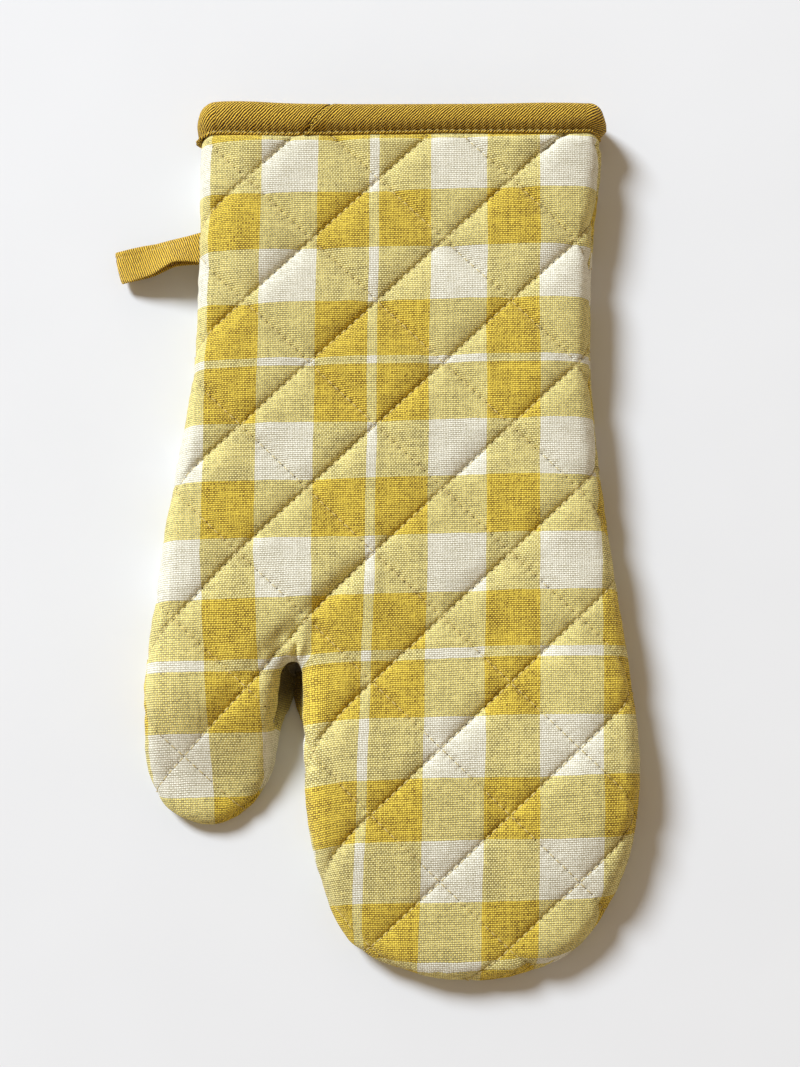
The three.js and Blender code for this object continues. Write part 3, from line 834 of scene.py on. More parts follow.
def edge_stations():
    """Points on the side seam and directions into the mitt, spaced for the row inside the edge."""
    inner = seam + seam_inward * EDGE_ROLL
    longer = np.maximum(
        np.linalg.norm(np.diff(seam, axis=0), axis=1),
        np.linalg.norm(np.diff(inner, axis=0), axis=1),
    )
    along = np.concatenate([[0], np.cumsum(longer)])
    points = spaced(seam, EDGE_STEP, along)
    inward = unit(spaced(seam_inward, EDGE_STEP, along))
    return points, inward


stations, station_inward = edge_stations()


def edge_rows(depths):
    """Spots in rows alongside the side seam, the seam's own row first."""
    count = len(stations)
    points = np.vstack([stations + station_inward * depth for depth in depths])
    return Spots(points, np.repeat(depths, count), np.tile(station_inward, (len(depths), 1)))


def mouth_row(x):
    """Spots along the open edge of the cuff."""
    left, right = x - MOUTH_LEFT, MOUTH_RIGHT - x
    away = np.column_stack([np.where(left < right, 1, -1), np.zeros(len(x))])
    return Spots(np.column_stack([x, np.full(len(x), CUFF_EDGE)]), np.minimum(left, right), away)


def from_rows(place):
    """Distance of places in the lattice from the nearest row, as a share of a step."""
    return np.abs(place - np.round(place))


def pad_places(face):
    """Places in the lattice on a plain grid, clear of the seams where those have their own."""
    steps = PAD_POINTS[face]
    part = np.arange(-QUILT_REACH * steps, QUILT_REACH * steps + 1) / steps
    down, up = (grid.ravel() for grid in np.meshgrid(part, part))
    if face in SEAM_POINTS:
        band = SEAM_BAND / ROW_SPACING_DOWN
        clear = (from_rows(down) > band) & (from_rows(up) > band)
        down, up = down[clear], up[clear]
    return down, up


def seam_places(face):
    """Places in the lattice in close rows beside each seam, so that its stitches are crisp."""
    steps = SEAM_POINTS[face]
    part = np.arange(-QUILT_REACH * steps, QUILT_REACH * steps + 1) / steps
    rows = np.arange(-QUILT_REACH, QUILT_REACH + 1)
    row, off, along = (grid.ravel() for grid in np.meshgrid(rows, SEAM_ROWS, part))
    beside = row + off / ROW_SPACING_DOWN
    clear = from_rows(along) > SEAM_BAND / ROW_SPACING_DOWN
    return (
        np.concatenate([beside, along[clear]]),
        np.concatenate([along, beside[clear]]),
    )


def quilt_grid(face, deeper_than, margin):
    """Spots on the quilting's lattice."""
    down, up = pad_places(face)
    if face in SEAM_POINTS:
        seam_down, seam_up = seam_places(face)
        down, up = np.concatenate([down, seam_down]), np.concatenate([up, seam_up])
    points = quilt_point(down, up)
    low, high = seam.min(axis=0), np.array((seam[:, 0].max(), CUFF_EDGE - margin))
    near = ((points > low) & (points < high)).all(axis=1)
    spots = from_seam(points[near])
    return picked(spots, spots.depth > deeper_than + margin)


def face_of(depths, face, margin):
    """The spots of one face of a panel, its triangles, and its rows on the seam and the mouth."""
    rows = edge_rows(depths)
    mouth = mouth_row(MOUTH_X[1:-1])
    count = len(stations)
    at_mouth = np.isclose(rows.point[:, 1], CUFF_EDGE) & (rows.depth > 0)
    rows = picked(rows, ~at_mouth)
    spots = joined(rows, mouth, quilt_grid(face, depths[-1], margin))
    mouth_index = len(rows.point) + np.arange(len(mouth.point))
    outline = [int(number) for number in (*range(count), *mouth_index[::-1])]
    edges = list(zip(outline, [*outline[1:], outline[0]]))
    found = delaunay_2d_cdt([Vector(point) for point in spots.point], edges, [], 1, 1e-5)
    origin = [first[0] if first else -1 for first in found[3]]
    triangles = np.array([[origin[i] for i in corners] for corners in found[2]])
    triangles = triangles[(triangles >= 0).all(axis=1)]
    mouth_line = np.array([0, *mouth_index, count - 1])
    return spots, triangles, mouth_line


def turned(triangles):
    return triangles[:, ::-1]


def row_frame():
    """Shift from the mitt's own plan to the row's frame, found from the binding's box."""
    low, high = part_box("cuff_binding")
    middle_x = (MOUTH_LEFT + MOUTH_RIGHT) / 2
    x = (low.x + high.x) / 2 / MILLIMETRE - middle_x
    y = high.y / MILLIMETRE - BINDING_TOP
    return np.array((x, y, 0))


ROW_SHIFT = row_frame()


def to_metres(places):
    return (np.asarray(places) + ROW_SHIFT) * MILLIMETRE


def put_in_scene(name, data):
    """A new object in the scene with this mesh, lamp or camera."""
    made = bpy.data.objects.new(name, data)
    bpy.context.scene.collection.objects.link(made)
    return made


def mesh_piece(name, places, faces, maps, materials, finish_of=None, corner_of=None):
    """A mesh from places in millimetres. Each UV map has a value for each place, or for each entry
    that corner_of names for the faces' corners."""
    faces = [[int(corner) for corner in face] for face in faces]
    if corner_of is None:
        corner_of = np.array([corner for face in faces for corner in face])
    mesh = bpy.data.meshes.new(name)
    mesh.from_pydata(to_metres(places).tolist(), [], faces)
    for title, values in maps.items():
        layer = mesh.uv_layers.new(name=title)
        layer.data.foreach_set("uv", np.asarray(values, dtype=np.float32)[corner_of].ravel())
    for material in materials:
        mesh.materials.append(material)
    if finish_of is not None:
        mesh.polygons.foreach_set("material_index", np.asarray(finish_of, dtype=np.int32))
    mesh.shade_smooth()
    mesh.update()
    return put_in_scene(name, mesh)


def rim_between(outer_mouth, inner_mouth):
    """Triangles of the cut edge at the mouth, without those that its two ends would flatten."""
    rim = []
    for k in range(1, len(outer_mouth)):
        a, b = outer_mouth[k - 1], outer_mouth[k]
        c, d = inner_mouth[k - 1], inner_mouth[k]
        rim.extend([corners for corners in ((a, d, c), (a, b, d)) if len(set(corners)) == 3])
    return np.array(rim)


def panel(side, materials):
    """One padded panel: outer face, inner face, and the cut edge at the mouth between them. The
    two faces share their row of points on the side seam."""
    outer_spots, outer, outer_mouth = face_of(EDGE_DEPTHS, side, OUTER_MARGIN)
    inner_spots, inner, inner_mouth = face_of(LINING_DEPTHS, "lining", LINING_MARGIN)
    count = len(stations)
    number = np.arange(len(inner_spots.point)) + len(outer_spots.point) - count
    number[:count] = np.arange(count)
    rim = rim_between(outer_mouth, number[inner_mouth])
    faces = np.vstack([outer, turned(number[inner]), rim])
    if side == "back":
        faces = turned(faces)
    places = np.vstack([outer_face(side, outer_spots), inner_face(side, inner_spots)[count:]])
    spots = joined(outer_spots, picked(inner_spots, slice(count, None)))
    cloth = flat_cloth(spots)
    check = check_place(lerp(cloth, spots.point, hand_side(spots.point)[:, None]))
    # Mask of the painted shade deep in the notch, passed to the material in a UV map
    shade = notch_shade(side, spots)
    maps = {
        "cloth": check,
        "quilt": np.column_stack(quilt_place(cloth)),
        "shade": np.column_stack([shade, shade]),
    }
    finish_of = np.repeat((0, 1), (len(outer), len(faces) - len(outer)))
    return mesh_piece(f"{side}_panel_cloth", places, faces, maps, materials, finish_of)


def closed_even(front, back, parts):
    """A closed line round the mouth, front from left to right and back again under the back, with
    even parts and the direction out of it at each point."""
    halves = []
    for line, count in ((front, parts[0]), (back[::-1], parts[1])):
        along = distance_along(line)
        halves.append(run_at((np.arange(count) + 0.5) / count * along[-1], along, line))
    line = np.vstack(halves)
    along = np.roll(line, -1, axis=0) - np.roll(line, 1, axis=0)
    return line, unit(np.column_stack([-along[:, 1], along[:, 0]]))


def mouth_lines():
    """The cuff's outer and inner faces round the mouth, as X and height, without their dents."""
    row = mouth_row(MOUTH_X)
    level = np.cos(edge_turn(row))
    lining = picked(row, row.depth >= SEAM_WIDTH)
    lines = {}
    for side in ("front", "back"):
        pull = lerp(CUFF_PRESS[side], EDGE_PULL, level)
        lines["outer", side] = padded_shell(side, row, pull)[:, [0, 2]]
        lines["inner", side] = inner_face(side, lining)[:, [0, 2]]
    parts = [
        round(distance_along(lines["outer", side])[-1] / BINDING_STEP) for side in ("front", "back")
    ]
    return {
        face: closed_even(lines[face, "front"], lines[face, "back"], parts)
        for face in ("outer", "inner")
    }


def binding_places(line, outward, off, y, face):
    """Places of one row of the binding, a distance off a face of the cuff all round the mouth."""
    low = (BINDING_TOP - y) / (BINDING_TOP - BINDING_LOW)
    side = outward[:, 0] ** 4
    if face == "outer":
        left, right = (np.interp(low, END_STAND_AT, END_STAND[end]) for end in ("left", "right"))
        off = off + side * np.where(outward[:, 0] < 0, left, right)
    across = line + outward * (off if face == "outer" else -off)[:, None]
    top_y = np.interp(across[:, 0], *top_edge.T)
    low_y = np.interp(across[:, 0], *low_edge.T) - BINDING_SIDE_DIP * side
    return np.column_stack([across[:, 0], lerp(top_y, low_y, low), np.maximum(across[:, 1], 0)])


def join_step(x, y):
    """The slanting join in the strip, on the front: a crease, and its ridge to the right."""
    up = (y - BINDING_LOW) / (BINDING_TOP - BINDING_LOW)
    off = x - lerp(BINDING_JOIN["low"], BINDING_JOIN["high"], up)
    falls = smooth(BINDING_JOIN_RIDGE["falls from"], BINDING_JOIN_RIDGE["to"], off)
    ridge = BINDING_JOIN["height"] * smooth(0, BINDING_JOIN_RIDGE["rises"], off) * (1 - falls)
    crease = BINDING_JOIN["depth"] * np.exp(-((off / BINDING_JOIN["half"]) ** 2))
    return (ridge - crease) * faded(BINDING_JOIN_TOP, y)


def stitch_pucker(line, y):
    """Small swellings of the strip beside its topstitching, between the needle holes."""
    off = abs(y - BINDING_STITCH_LINE)
    return BINDING_PUCKER * beat(distance_along(line) / BINDING_STITCH) * off * math.exp(1 - off)


def grid_faces(columns, rows, closed_columns=True):
    """Faces of a closed section swept along, and the entries of a UV table one larger each way."""
    faces, entries = [], []
    for k in range(columns if closed_columns else columns - 1):
        for j in range(rows):
            corners = ((k, j), (k + 1, j), (k + 1, j + 1), (k, j + 1))
            faces.append([(column % columns) * rows + row % rows for column, row in corners])
            entries.extend(column * (rows + 1) + row for column, row in corners)
    return faces, np.array(entries)


def section_distance(points):
    """Distance round a closed section, back to its start."""
    return distance_along(np.vstack([points, points[:1]]))


def cuff_binding(material):
    """The folded strip round the cuff's open edge."""
    lines = mouth_lines()
    rows = []
    for face, off, y in BINDING_SECTION:
        line, outward = lines[face]
        off = np.full(len(line), float(off))
        if face == "outer":
            off += join_step(line[:, 0], y) * (outward[:, 1] > 0) + stitch_pucker(line, y)
        rows.append(binding_places(line, outward, off, y, face))
    places = np.stack(rows, axis=1)
    columns, count = places.shape[:2]
    faces, entries = grid_faces(columns, count)
    middle = places[columns // 4]
    across = section_distance(middle[:, 1:])
    round_mouth = section_distance(lines["outer"][0])
    table = np.array([(along, over) for along in round_mouth for over in across])
    return mesh_piece(
        "cuff_binding_strip",
        places.reshape(-1, 3),
        faces,
        {"strip": table},
        [material],
        corner_of=entries,
    )


def loop_frames():
    """Stations along the loop's tape: share of its run, middle, and the directions across the
    tape and out of it."""
    run = spaced(smooth_run(LOOP_RUN), LOOP_STEP)
    share = distance_along(run) / distance_along(run)[-1]
    under = faded(LOOP_UNDER, share)
    out, height = run.T
    tilt = np.radians(np.interp(out, *smooth_run(LOOP_TILT).T)) * lerp(1, LOOP_LEG_TILT, under)
    along = unit(np.gradient(run, axis=0))
    ahead = np.column_stack([along[:, 0], np.zeros(len(run)), along[:, 1]])
    across = np.column_stack([np.zeros(len(run)), np.cos(tilt), -np.sin(tilt)])
    off = unit(np.cross(ahead, across))
    half = LOOP_WIDTH / 2
    aside = half * (1 - np.cos(tilt)) + LOOP_SWING * (LOOP_RUN[0][1] - height) - LOOP_SLIP
    aside -= LOOP_LEG_SLIP * under * faded(LOOP_LEG_SLIP_OUT, out)
    lift = half * np.sin(tilt) * lerp(LOOP_UPPER_LIFT, 1, under)
    middle = np.column_stack([out, aside, height + lift])
    return share, middle, across, off


def loop_in_plan(places):
    """From the loop's own out, side and height to the mitt's plan."""
    out, side, height = np.asarray(places).T
    x = LOOP_ROOT[0] - out * math.cos(LOOP_TURN) - side * math.sin(LOOP_TURN)
    y = LOOP_ROOT[1] - out * math.sin(LOOP_TURN) + side * math.cos(LOOP_TURN)
    return np.column_stack([x, y, height])


def loop_dent(share_across):
    """Dent along the tape's stitched hem."""
    hem = 1 - 2 * LOOP_HEM
    off = (share_across - hem) / LOOP_HEM_DENT["reach"]
    return LOOP_HEM_DENT["depth"] * np.exp(-(off**2))


def loop_section():
    """The tape's section with its thin folded edges: share across and height off its middle."""
    across = np.sin(np.linspace(-QUARTER_TURN, QUARTER_TURN, LOOP_SECTION_POINTS))
    half = LOOP_CLOTH / 2 * np.sqrt(1 - np.abs(across) ** 8)
    top = np.column_stack([across, half - loop_dent(across) * (half > 0.1)])
    bottom = np.column_stack([across, -half])[1:-1][::-1]
    return np.vstack([top, bottom])


def hanging_loop(material):
    """The tape loop, folded back on itself, with its two ends between the panels."""
    share, middle, across, off = loop_frames()
    section = loop_section()
    wave = LOOP_WAVE["height"] * np.sin(share * LOOP_WAVE["turns"]) * np.sin(share * math.pi)
    places = (
        middle[:, None, :]
        + across[:, None, :] * (section[:, 0] * LOOP_WIDTH / 2)[None, :, None]
        + off[:, None, :] * (section[:, 1][None, :] + wave[:, None] * section[:, 0] ** 2)[..., None]
    )
    columns, count = places.shape[:2]
    faces, entries = grid_faces(columns, count, closed_columns=False)
    faces = [face[::-1] for face in faces]
    entries = entries.reshape(-1, 4)[:, ::-1].ravel()
    round_tape = section_distance(section * (LOOP_WIDTH / 2, 1))
    table = np.array([(along, over) for along in distance_along(middle) for over in round_tape])
    table = table @ plan_turn(LOOP_CLOTH_TURN)
    last = (columns - 1) * count
    caps = [list(range(count)), list(range(last, last + count))[::-1]]
    faces.extend(caps)
    entries = np.concatenate([entries, *caps])
    places = loop_in_plan(places.reshape(-1, 3))
    places[:, 2] = np.maximum(places[:, 2], LOOP_LOWEST)
    return mesh_piece(
        "hanging_loop_tape", places, faces, {"strip": table}, [material], corner_of=entries
    )


def wire_geometry(tree, kind, settings, inputs):
    """A node of a geometry tree with its settings, values and links."""
    made = tree.nodes.new(kind)
    for key, value in settings.items():
        setattr(made, key, value)
    for key, value in inputs.items():
        if isinstance(value, bpy.types.NodeSocket):
            tree.links.new(value, made.inputs[key])
        else:
            made.inputs[key].default_value = value
    return made


def stitch_tree():
    """Geometry nodes that lay a bead of thread on each point, turned along its seam."""
    tree = bpy.data.node_groups.new("stitches", "GeometryNodeTree")
    sockets = (
        ("Seam points", "NodeSocketGeometry"),
        ("Stitch size", "NodeSocketVector"),
        ("Uneven", "NodeSocketFloat"),
        ("Thread", "NodeSocketMaterial"),
    )
    for title, kind in sockets:
        tree.interface.new_socket(title, in_out="INPUT", socket_type=kind)
    tree.interface.new_socket("Stitches", in_out="OUTPUT", socket_type="NodeSocketGeometry")
    given = tree.nodes.new("NodeGroupInput").outputs
    bead = wire_geometry(
        tree, "GeometryNodeMeshUVSphere", {}, {"Segments": 8, "Rings": 5, "Radius": 0.5}
    )
    sized = wire_geometry(
        tree,
        "GeometryNodeTransform",
        {},
        {"Geometry": bead.outputs["Mesh"], "Scale": given["Stitch size"]},
    )
    vector = {"data_type": "FLOAT_VECTOR"}
    along = wire_geometry(tree, "GeometryNodeInputNamedAttribute", vector, {"Name": "along"})
    up = wire_geometry(tree, "GeometryNodeInputNamedAttribute", vector, {"Name": "up"})
    turn = wire_geometry(
        tree,
        "FunctionNodeAxesToRotation",
        {"primary_axis": "X", "secondary_axis": "Z"},
        {"Primary Axis": along.outputs["Attribute"], "Secondary Axis": up.outputs["Attribute"]},
    )
    least = wire_geometry(
        tree, "ShaderNodeMath", {"operation": "SUBTRACT"}, {0: 1.0, 1: given["Uneven"]}
    )
    most = wire_geometry(tree, "ShaderNodeMath", {"operation": "ADD"}, {0: 1.0, 1: given["Uneven"]})
    scale = wire_geometry(
        tree,
        "FunctionNodeRandomValue",
        {"data_type": "FLOAT"},
        {"Min": least.outputs[0], "Max": most.outputs[0], "Seed": 5},
    )
    laid = wire_geometry(
        tree,
        "GeometryNodeInstanceOnPoints",
        {},
        {
            "Points": given["Seam points"],
            "Instance": sized.outputs["Geometry"],
            "Rotation": turn.outputs["Rotation"],
            "Scale": scale.outputs["Value"],
        },
    )
    real = wire_geometry(
        tree, "GeometryNodeRealizeInstances", {}, {"Geometry": laid.outputs["Instances"]}
    )
    finished = wire_geometry(
        tree,
        "GeometryNodeSetMaterial",
        {},
        {"Geometry": real.outputs["Geometry"], "Material": given["Thread"]},
    )
    out = tree.nodes.new("NodeGroupOutput")
    tree.links.new(finished.outputs["Geometry"], out.inputs["Stitches"])
    return tree


def stitches(name, tree, places, along, up, size, thread):
    """Beads of thread at places in millimetres, baked into a plain mesh."""
    mesh = bpy.data.meshes.new(name)
    mesh.from_pydata(to_metres(places).tolist(), [], [])
    for title, values in (("along", along), ("up", up)):
        layer = mesh.attributes.new(title, "FLOAT_VECTOR", "POINT")
        layer.data.foreach_set("vector", unit(values).astype(np.float32).ravel())
    piece = put_in_scene(name, mesh)
    modifier = piece.modifiers.new("stitches", "NODES")
    modifier.node_group = tree
    inputs = {
        item.name: item.identifier
        for item in tree.interface.items_tree
        if item.in_out == "INPUT"
    }
    modifier[inputs["Stitch size"]] = [width * MILLIMETRE for width in size]
    modifier[inputs["Uneven"]] = BEAD_UNEVEN
    modifier[inputs["Thread"]] = thread
    graph = bpy.context.evaluated_depsgraph_get()
    baked = bpy.data.meshes.new_from_object(piece.evaluated_get(graph), depsgraph=graph)
    piece.modifiers.clear()
    piece.data = baked
    piece.data.shade_smooth()
    return piece


def rolled_spots(down, up):
    """Spots at places in the lattice of the flat cloth, once it is rolled over the edge."""
    cloth = quilt_point(down, up)
    flat = from_seam(cloth)
    turn = QUARTER_TURN - 1 + flat.depth / EDGE_ROLL
    depth = np.where(flat.depth < EDGE_ROLL, EDGE_ROLL * turn / QUARTER_TURN, flat.depth)
    return Spots(cloth + flat.away * (depth - flat.depth)[:, None], depth, flat.away)


def on_face(side, down, up):
    """Places on a panel's outer face at places in the lattice of its flat cloth."""
    spots = rolled_spots(down, up)
    return outer_face(side, spots._replace(depth=np.maximum(spots.depth, 0)))


def quilting_stitches(side, tree, size, thread):
    """The quilting's stitches on one face, row by row both ways."""
    rows = np.arange(-QUILT_REACH, QUILT_REACH + 1)
    middles = np.arange(-QUILT_REACH * STITCHES_A_STEP, QUILT_REACH * STITCHES_A_STEP) + 0.5
    row, part = (grid.ravel() for grid in np.meshgrid(rows, middles / STITCHES_A_STEP))
    outward = 1 if side == "front" else -1
    probe = 0.3 / STITCHES_A_STEP  # a short way beside each stitch, to find the directions there
    found = []
    for down, up, step_down, step_up, lift in (
        (row, part, 0, probe, BEAD_LIFT["rising"]),
        (part, row, probe, 0, BEAD_LIFT["falling"]),
    ):
        clear_of_edge = rolled_spots(down, up).depth > BEAD_CLEAR_OF_EDGE
        keep = clear_of_edge & (quilt_point(down, up)[:, 1] < BINDING_LOW)
        down, up = down[keep].astype(float), up[keep].astype(float)
        ahead = on_face(side, down + step_down, up + step_up)
        behind = on_face(side, down - step_down, up - step_up)
        aside = on_face(side, down + step_up, up + step_down)
        beside = on_face(side, down - step_up, up - step_down)
        along = unit(ahead - behind)
        off = unit(np.cross(along, aside - beside))
        off *= np.sign(off[:, 2:] + 1e-6) * outward
        found.append((on_face(side, down, up) + off * size[2] * lift, along, off))
    places, along, up = (np.vstack(group) for group in zip(*found))
    return stitches(f"{side}_quilting_stitches", tree, places, along, up, size, thread)


def binding_stitches(tree, size, thread):
    """Topstitching round the binding's lower edge."""
    line, outward = mouth_lines()["outer"]
    round_mouth = section_distance(line)
    count = round(round_mouth[-1] / BINDING_STITCH)
    at = (np.arange(count) + 0.5) / count * round_mouth[-1]
    closed = np.vstack([line, line[:1]])
    closed_out = np.vstack([outward, outward[:1]])
    middle = run_at(at, round_mouth, closed)
    off = unit(run_at(at, round_mouth, closed_out))
    sunk = np.full(count, -BINDING_BEAD_SINK)
    places = binding_places(middle, off, sunk, BINDING_STITCH_LINE, "outer")
    along = np.column_stack([off[:, 1], np.zeros(count), -off[:, 0]])
    up = np.column_stack([off[:, 0], np.zeros(count), off[:, 1]])
    above = places[:, 2] > BINDING_BEAD_LOWEST
    return stitches(
        "binding_topstitching", tree, places[above], along[above], up[above], size, thread
    )


def loop_stitches(tree, size, thread):
    """The row of stitches along the tape's hem."""
    _, middle, across, off = loop_frames()
    hem = 1 - 2 * LOOP_HEM
    line = middle + across * hem * LOOP_WIDTH / 2 + off * (LOOP_CLOTH / 2 - HEM_BEAD_SINK)
    line_along = distance_along(line)
    bare_start, bare_end = LOOP_BARE_ENDS
    at = np.arange(bare_start, line_along[-1] - bare_end, LOOP_STITCH)
    places = run_at(at, line_along, line)
    origin = loop_in_plan(np.zeros((1, 3)))
    along = loop_in_plan(np.gradient(places, axis=0)) - origin
    up = loop_in_plan(run_at(at, line_along, off)) - origin
    return stitches("loop_hem_stitches", tree, loop_in_plan(places), along, up, size, thread)


class Wire:
    """A value in a shader. Arithmetic on it adds Math nodes."""

    def __init__(self, finish, socket):
        self.finish = finish
        self.socket = socket

    def __add__(self, other):
        return self.finish.math("ADD", self, other)

    __radd__ = __add__

    def __sub__(self, other):
        return self.finish.math("SUBTRACT", self, other)

    def __rsub__(self, other):
        return self.finish.math("SUBTRACT", other, self)

    def __mul__(self, other):
        return self.finish.math("MULTIPLY", self, other)

    __rmul__ = __mul__

    def __truediv__(self, other):
        return self.finish.math("DIVIDE", self, other)

    def __gt__(self, other):
        return self.finish.math("GREATER_THAN", self, other)

    def __lt__(self, other):
        return self.finish.math("LESS_THAN", self, other)


class Finish:
    """A material while its nodes are being made."""

    def __init__(self, name):
        self.material = bpy.data.materials.new(name)
        self.material.use_nodes = True
        self.tree = self.material.node_tree
        self.tree.nodes.clear()

    def node(self, kind, settings=None, inputs=None):
        made = self.tree.nodes.new(kind)
        for key, value in (settings or {}).items():
            setattr(made, key, value)
        for key, value in (inputs or {}).items():
            if isinstance(value, Wire):
                self.tree.links.new(value.socket, made.inputs[key])
            else:
                made.inputs[key].default_value = value
        return made

    def math(self, operation, *values):
        made = self.node("ShaderNodeMath", {"operation": operation}, dict(enumerate(values)))
        return Wire(self, made.outputs[0])

    def floor(self, value):
        return self.math("FLOOR", value)

    def fraction(self, value):
        return self.math("FRACT", value)

    def clamped(self, value):
        """The value, held between 0 and 1."""
        return self.math("MAXIMUM", self.math("MINIMUM", value, 1.0), 0.0)

    def ramp(self, value, start, end):
        """0 below start and 1 above end, soft between them."""
        made = self.node(
            "ShaderNodeMapRange",
            {"interpolation_type": "SMOOTHSTEP"},
            {"Value": value, "From Min": start, "From Max": end},
        )
        return Wire(self, made.outputs["Result"])

    def mix(self, share, low, high):
        """A colour between two others."""
        made = self.node("ShaderNodeMix", {"data_type": "RGBA"}, {0: share, 6: low, 7: high})
        return Wire(self, made.outputs[2])

    def map_place(self, name):
        """The two coordinates of a UV map."""
        place = self.node("ShaderNodeUVMap", {"uv_map": name})
        return self.parts(Wire(self, place.outputs["UV"]))[:2]

    def object_place(self):
        """The place in the mitt's own frame, in millimetres."""
        place = self.node("ShaderNodeTexCoord")
        return [part * 1000 for part in self.parts(Wire(self, place.outputs["Object"]))]

    def parts(self, vector):
        """The three coordinates of a vector."""
        split = self.node("ShaderNodeSeparateXYZ", None, {"Vector": vector})
        return [Wire(self, split.outputs[axis]) for axis in "XYZ"]

    def vector(self, x, y):
        made = self.node("ShaderNodeCombineXYZ", None, {"X": x, "Y": y})
        return Wire(self, made.outputs["Vector"])

    def noise(self, x, y, scale):
        """Soft noise around 0.5, of about 1 / scale millimetres."""
        made = self.node(
            "ShaderNodeTexNoise",
            {"noise_dimensions": "2D"},
            {"Vector": self.vector(x, y), "Scale": scale, "Detail": 2.0},
        )
        return Wire(self, made.outputs[0])

    def scatter(self, x, y):
        """A random value from 0 to 1 for each pair of whole numbers."""
        made = self.node(
            "ShaderNodeTexWhiteNoise", {"noise_dimensions": "2D"}, {"Vector": self.vector(x, y)}
        )
        return Wire(self, made.outputs["Value"])

    def cloth(self, colour, height, relief, roughness, sheen):
        """The finished surface: height from 0 to 1 stands for a relief in millimetres."""
        bump = self.node(
            "ShaderNodeBump", None, {"Distance": relief * MILLIMETRE, "Height": height}
        )
        surface = self.node(
            "ShaderNodeBsdfPrincipled",
            None,
            {
                "Base Color": colour,
                "Roughness": roughness,
                "Normal": Wire(self, bump.outputs["Normal"]),
                "Specular IOR Level": 0.25,
                "Sheen Weight": sheen,
                "Sheen Roughness": 0.5,
            },
        )
        out = self.node("ShaderNodeOutputMaterial")
        self.tree.links.new(surface.outputs["BSDF"], out.inputs["Surface"])
        return self.material


# Each *_DEEP colour below stands for the gaps and sides of yarns, ribs and plies: the own colour
# darkened by painted shade
MUSTARD_YARN = (0.96, 0.715, 0.088, 1)
MUSTARD_DEEP = (0.15, 0.075, 0.008, 1)
CROSSED_YARN = (0.98, 0.88, 0.30, 1)
CROSSED_DEEP = (0.24, 0.21, 0.05, 1)
WHITE_YARN = (0.97, 0.93, 0.77, 1)
WHITE_DEEP = (0.52, 0.475, 0.32, 1)
LINING_YARN = (0.74, 0.70, 0.60, 1)
LINING_DEEP = (0.42, 0.38, 0.30, 1)
BIAS_YARN = (1.0, 0.64, 0.065, 1)
BIAS_DEEP = (0.05, 0.018, 0.004, 1)
THREAD_COLOUR = (0.74, 0.60, 0.26, 1)
THREAD_DEEP = (0.45, 0.31, 0.09, 1)
# Colour of the painted shade in the needle holes and seam creases
HOLE_SHADE_COLOUR = (0.09, 0.045, 0.01, 1)
# Colour of the painted shade deep in the notch
SHADE_COLOUR = (0.05, 0.028, 0.006, 1)
FLOOR_DARK = (0.765, 0.765, 0.765, 1)
FLOOR_PALE = (0.785, 0.785, 0.785, 1)

# Needle holes, and the fine crease of a seam that rises to the right, both darkened by painted
# shade: dark up to one distance from its middle, and gone at the next
NEEDLE_HOLE_SHADE = {"dark": 0.12, "gone": 0.34, "ragged": 0.9, "strength": 0.85}
SEAM_CREASE_SHADE = {"dark": 0.05, "gone": 0.35, "strength": 0.15}
# Strength of the painted shade deep in the notch
NOTCH_SHADE_STRENGTH = 0.9

# Plain weave: height of the warp and the weft, between two crossings and on top of one
WARP_HEIGHT = (0.15, 0.6)
WEFT_HEIGHT = (0.6, 1.0)

# The check cotton: how far its yarns wander, how much the yarn on top, the one under it and a
# crossing of both colours add to the mustard, and how strongly each thing lightens the yarns
CHECK_WANDER = {"scale": 0.22, "by": 0.35}
CHECK_MIX = {"top": 0.66, "under": 0.34, "crossing": 0.16}
CROSSING_STRENGTH = 0.5
SLUB = {"along": 0.4, "across": 2.2, "scale": 0.6}  # long along a yarn and short across it
MOTTLE_SCALE = 0.08
CHECK_LIGHT = {"height": 1.5, "slub": 0.5, "tone": 0.2, "grain": 0.3, "mottle": 0.4}
CHECK_CONTRAST = {"about": 0.65, "mustard": 0.35, "level": 0.66}
CHECK_RELIEF = {"slub": 0.6, "grain": 0.3, "depth": 0.27}

# The bias cotton: its ribs, and how strongly each thing lightens them
BIAS_RIBS = {"pitch": 0.82, "slant": math.radians(46), "knuckle": 0.9, "dip": 0.3}
BIAS_WANDER = {"scale": 0.35, "by": 0.5}
BIAS_LIGHT = {"tone": 0.3, "speckle": 1.7}
BIAS_SPECKLE_SCALE = 1.1
# One entry adds rib contrast in the band of painted shade beside the topstitching
BIAS_CONTRAST = {"about": 0.55, "by": 4.2, "pressed": 3, "level": 0.87}
BIAS_RELIEF = {"speckle": 0.4, "depth": 0.5}

# Where painted shade darkens the strip beside its topstitching: from its lower edge, where that
# starts, is full, still full and gone, and along it, where it starts and is full
PAINTED_SHADE_ACROSS = (1.2, 2.2, 3.5, 9.0)
PAINTED_SHADE_ALONG = (2.0, 14.0)

# The lining, the thread and the floor
LINING_LIGHT = 0.9
LINING_MOTTLE = {"scale": 0.3, "by": 0.4}
LINING_RELIEF = 0.12
THREAD_LEAN = 0.7
THREAD_TWIST = 0.35
THREAD_RELIEF = 0.05
FLOOR_GRAIN = 0.02
FLOOR_RELIEF = 0.01


